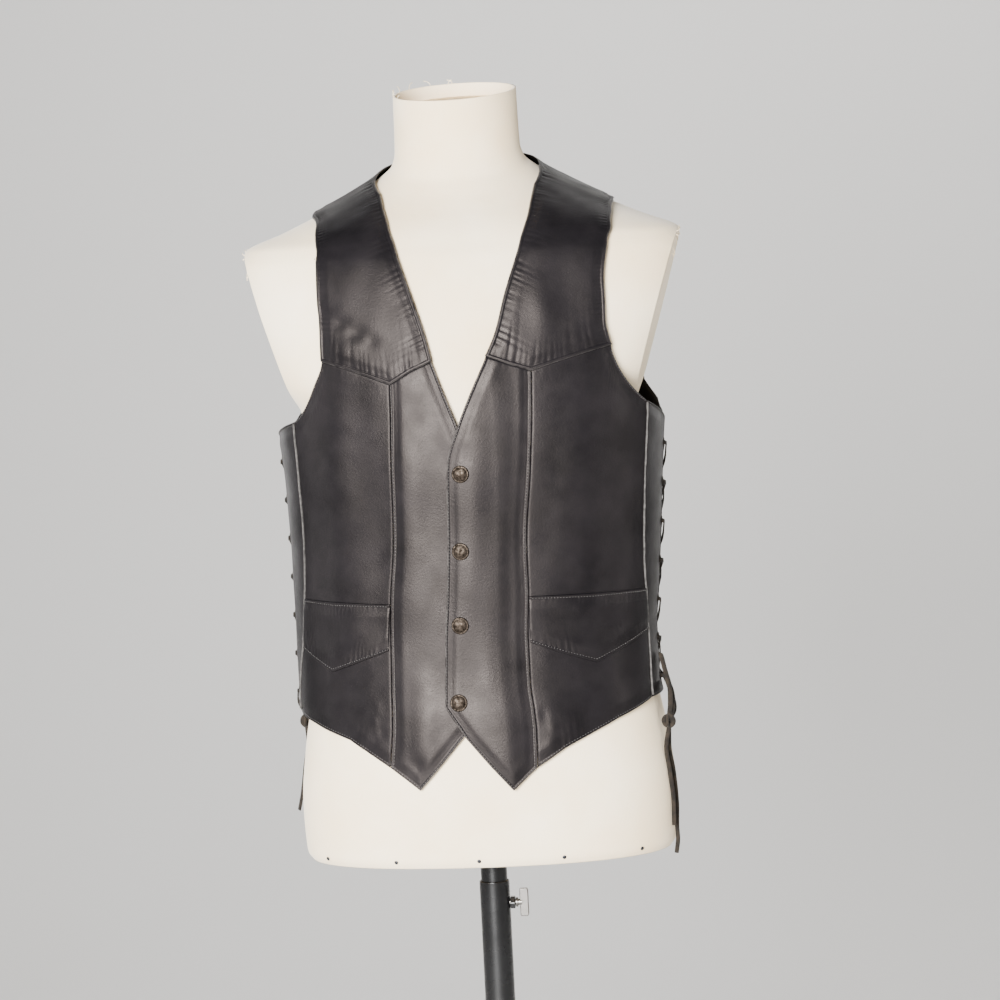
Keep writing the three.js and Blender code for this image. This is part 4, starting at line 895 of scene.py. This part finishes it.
# The back is one plain piece from hem to shoulders, with two columns of eyelets.
back_armhole = table(BACK_ARMHOLE)[0]
left_up, right_up = [np.concatenate([
    [(BACK_EDGE, BACK_HEM), (BACK_EDGE, UNDERARM - 1)],
    climb(back_armhole, UNDERARM, SHOULDER_ARM[side], None, (90, SHOULDER_ARM[side])),
]) for side in ("left", "right")]
right_up[:, 0] = 360 - right_up[:, 0]
top = seam_line([(90, SHOULDER_ARM["left"]), (90, SHOULDER_NECK), (270, SHOULDER_NECK),
                 (270, SHOULDER_ARM["right"])])
bottom = seam_line([(BACK_EDGE, BACK_HEM), (360 - BACK_EDGE, BACK_HEM)])
cut_panel(
    "back_hide", "back_panel", (bottom, top, seam_line(left_up), seam_line(right_up)), (360, 500),
    (0.48, 0.56, 0.205), stitched={"bottom": 0, "start": 0, "end": 0}, rubbed={"start": 0.3, "end": 0.3},
    gathers=[("start", 5, 0.3, 8, 1.2), ("end", 5, 0.3, 8, 2.2)], corners=top.share[1:-1], step=4.0)

# Seam thread: black waxed polyester, a lockstitch every 2.9 mm beside every turned edge. Its tones run from
# near black up to a lighter grey, and that grey is painted sheen on the stitches.
# The lighter tone stands in for the light caught on each stitch, so the stitches read as light dashes.
thread = mottled("waxed_thread", [(0, "#2c2a29"), (1, "#63605d")], {"Scale": 900, "Detail": 2},
                 Roughness=0.35)[0]
for side, bm in stitches.items():
    sewing = finish_mesh(f"{side}_stitches", bm, thread)
    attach(sewing, "figure")

# Raw seams: at the side and over the shoulder the two hides are sewn with their cut edges
# outward, so a narrow ridge of undyed grey leather stands out along the seam.
raw_edge = mottled("raw_leather_edge", [(0.3, "#2d2b2a"), (0.7, "#5b5855")], {"Scale": 260, "Detail": 6},
                   relief=(0.0003, 0.5), Roughness=0.8)[0]
for side, front in FRONTS.items():
    seam = table(SIDE_SEAM)[front["column"]]
    side_levels = np.linspace(front["side_hem"][-1][1] + 2, front["side_top"] - 2, 110)
    shoulder_levels = np.linspace(SHOULDER_ARM[side] + 0.6, SHOULDER_NECK - 1, 50)
    for seam_name, levels, angles, stand_out in (
        ("side", side_levels, seam(side_levels), 1.7),
        ("shoulder", shoulder_levels, np.full(50, 90.0 * front["turn"]), 1.1),
    ):
        heights = np.array([-0.2, 0.45, 0.85, 1.0]) * stand_out + WALL
        wobble = 0.07 * np.sin(levels / 9.1) + 0.05 * np.sin(levels / 3.3)
        ridge = on_vest(levels[:, None], (angles + wobble)[:, None], heights[None] + 0.3 * wobble[:, None])
        edge = finish_mesh(f"{side}_{seam_name}_raw_seam", laid_grid(len(levels), 4, ridge)[0], raw_edge)
        thicken(edge, 0.001, offset=0)
        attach(edge, "figure")

# Pin pricks: where the yokes have been pinned, the hide is torn in tiny grey flecks.
def seat_at(level, angle, height):
    away = outward(vest_inside, np.array(float(level)), np.array(float(angle)))
    return facing(Vector(on_vest(level, angle, height) / 1000), Vector(away))


bm = bmesh.new()
for level, angle, across, tall in [
    (1369, -43, 0.5, 1.1), (1362, -40.6, 0.9, 0.4), (1366, -42, 0.7, 0.3), (1357, -38.4, 0.4, 0.9),
    (1350, -54, 0.5, 1.2), (1345, -53, 0.4, 0.5), (1303, -39.5, 0.6, 0.7), (1377, 46, 0.6, 0.7),
    (1371, 53, 0.8, 0.8), (1364, 44.5, 0.4, 0.8), (1388, 44, 1.6, 0.25),
]:
    fleck_size = Matrix.Diagonal((across * 0.7, tall * 0.7, 0.25, 1))
    bmesh.ops.create_icosphere(bm, subdivisions=2, radius=0.001,
                               matrix=seat_at(level, angle, WALL + 0.55) @ fleck_size)
flecks = finish_mesh("pin_pricks", bm, raw_edge)
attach(flecks, "figure")

# Snaps: four domed caps of blackened brass on the left front, with a rolled rim,
# each pressed through the leather into a hidden socket.
antique, tree, shader, _, patina = mottled(
    "antique_brass", [(0.38, "#17130f"), (0.75, "#453d36")], {"Scale": 420, "Detail": 5, "Roughness": 0.65},
    relief=(0.0003, 0.35), Metallic=1.0, Roughness=0.4)
worn_gloss = add_node(tree, "MapRange", {"Value": patina, "From Min": 0.35, "From Max": 0.7, "To Min": 0.6,
                                         "To Max": 0.38})
tree.links.new(worn_gloss.outputs["Result"], shader.inputs["Roughness"])


def spun(bm, outline, steps, matrix):
    """Spins a line of (radius, height), in millimetres, and puts it where the matrix says."""
    line = [bm.verts.new((r / 1000, 0, h / 1000)) for r, h in outline]
    edges = [bm.edges.new(pair) for pair in zip(line, line[1:])]
    bmesh.ops.spin(bm, geom=line + edges, cent=(0, 0, 0), axis=(0, 0, 1), angle=math.tau, steps=steps,
                   use_merge=True)
    fresh = list({v for v in bm.verts if v.link_edges and not v.tag})
    bmesh.ops.transform(bm, matrix=matrix, verts=fresh)
    for vert in fresh:
        vert.tag = True


DOME = [(0, 2.75), (2.4, 2.66), (4.5, 2.3), (6.1, 1.75), (6.7, 1.42), (7.0, 1.5), (7.5, 1.45), (7.9, 1.0),
        (8, 0.5), (7.8, 0.05), (7.2, 0), (0, 0)]
bm = bmesh.new()
for angle, level in [(0.8, 1141), (-0.4, 1070), (-1, 1002), (-3.5, 930.5)]:
    spun(bm, DOME, 40, seat_at(level, angle, front_lap(angle) + WALL + GAP + 0.15))
bmesh.ops.remove_doubles(bm, verts=bm.verts, dist=1e-7)
bmesh.ops.dissolve_degenerate(bm, edges=bm.edges, dist=1e-8)
bmesh.ops.recalc_face_normals(bm, faces=bm.faces)
snaps = finish_mesh("snap_caps", bm, antique)
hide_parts(*[f"snap_cap_{i}" for i in range(1, 5)])
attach(snaps, "figure")

# Eyelets: brass barrels set through both edges of each laced side, rolled over on the outside.
EYELET_TOP, EYELET_PITCH, EYELET_ROWS, EYELET_INSET = 1160, 37, 7, 2.6
EYELET = [(2.62, -0.3), (2.9, -0.3), (2.9, 1.9), (3.6, 1.95), (4.15, 2.05), (4.2, 2.2), (3.9, 2.5),
          (3.3, 2.65), (2.8, 2.5), (2.62, 2.2), (2.62, -0.3)]
eyelet_levels = [EYELET_TOP - i * EYELET_PITCH for i in range(EYELET_ROWS)]
for side, front in FRONTS.items():
    bm = bmesh.new()
    for hole in (SIDE_EDGE - EYELET_INSET, BACK_EDGE + EYELET_INSET):
        for level in eyelet_levels:
            spun(bm, EYELET, 20, seat_at(level, hole * front["turn"], 0))
    bmesh.ops.remove_doubles(bm, verts=bm.verts, dist=1e-7)
    bmesh.ops.recalc_face_normals(bm, faces=bm.faces)
    eyelets = finish_mesh(f"{side}_eyelets", bm, antique)
    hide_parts(*[f"eyelet_{side}_{edge}_{i}" for edge in ("front", "back")
                           for i in range(1, EYELET_ROWS + 1)])
    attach(eyelets, "figure")

# Side laces: one long suede thong a side, crossed from edge to edge down seven pairs of
# eyelets like a shoe's, and tied in a bow below the lowest pair.
LACE_RADIUS = 1.2
OVER, UNDER = WALL + 1 + GAP + LACE_RADIUS + 0.2, -(GAP + LACE_RADIUS + 0.4)
MIDDLE, CROSSING = (SIDE_EDGE + BACK_EDGE) / 2, LACE_RADIUS + GAP
TIE_OUT, REACH_OUT = 6, 6.5
# Bow loops: angle and level from the knot, and how far they stand out, in degrees and millimetres.
BOW_LOOPS = [[(1, 24, 12), (2.2, 48, 10), (3, 64, 6), (4.4, 50, 8), (3, 22, 11)],
             [(2, 12, 11), (4.5, 26, 11), (6, 36, 8), (6.5, 25, 9), (4, 9, 10)]]
UP = Vector((0, 0, 1))
for side, front in FRONTS.items():
    turn = front["turn"]
    knot_angle, knot_level = abs(front["knot"][0]), front["knot"][1]

    def lace_at(angle, level, height):
        return Vector(on_vest(level, angle * turn, height) / 1000)

    def weave_down(first, height):
        path = []
        for i, level in enumerate(eyelet_levels):
            at_front = (i % 2 == 0) == (first == "front")
            hole, way = (SIDE_EDGE - EYELET_INSET, 1) if at_front else (BACK_EDGE + EYELET_INSET, -1)
            path += [lace_at(hole + way * along, level - down, out) for along, down, out in (
                (2.4, 0, UNDER), (0.9, 0, UNDER), (0, 0, WALL / 2), (0.5, 1, OVER - 0.3), (1.3, 2, OVER))]
            if i < EYELET_ROWS - 1:
                path += [lace_at(hole + way * 2.6, level - 3, OVER - 0.4),
                         lace_at(MIDDLE, level - EYELET_PITCH / 2, WALL / 2 + height)]
        return path

    def reach_knot(angle, level, above_knot, shares):
        return [lace_at(angle + (knot_angle - angle) * t, level + (knot_level + above_knot - level) * t,
                        REACH_OUT) for t in shares]

    tie = lace_at(knot_angle, knot_level, TIE_OUT)
    route = [tie, *reach_knot(SIDE_EDGE, 930, 6, (0.7, 0.2)), *weave_down("front", CROSSING)[::-1],
             lace_at(MIDDLE, EYELET_TOP, UNDER), *weave_down("back", -CROSSING),
             *reach_knot(BACK_EDGE, 931, 4, (0.2, 0.7)), tie.copy()]
    bm = bmesh.new()
    thong(bm, smooth_route(route, 3))
    for bow_loop in BOW_LOOPS:
        loop = [lace_at(knot_angle + aside, knot_level + rise, out) for aside, rise, out in bow_loop]
        thong(bm, smooth_route([tie, *loop, tie.copy()], 8), 0.0048, twist=0.9, shown=to_the_front(turn))
    away = Vector((tie.x, tie.y, 0)).normalized()
    for axis, radius, width in ((away, 0.0046, 0.0042), (away.cross(UP), 0.0044, 0.0056)):
        side_way = axis.cross(UP).normalized()
        ring = [tie + (side_way * math.cos(a) + UP * math.sin(a)) * radius
                for a in np.linspace(0, math.tau * 1.05, 20)]
        thong(bm, ring, width, 0.0022, shown=axis)
    bmesh.ops.recalc_face_normals(bm, faces=bm.faces)
    lace = finish_mesh(f"{side}_side_lace", bm, suede)
    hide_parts(f"{side}_lace")
    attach(lace, "figure")
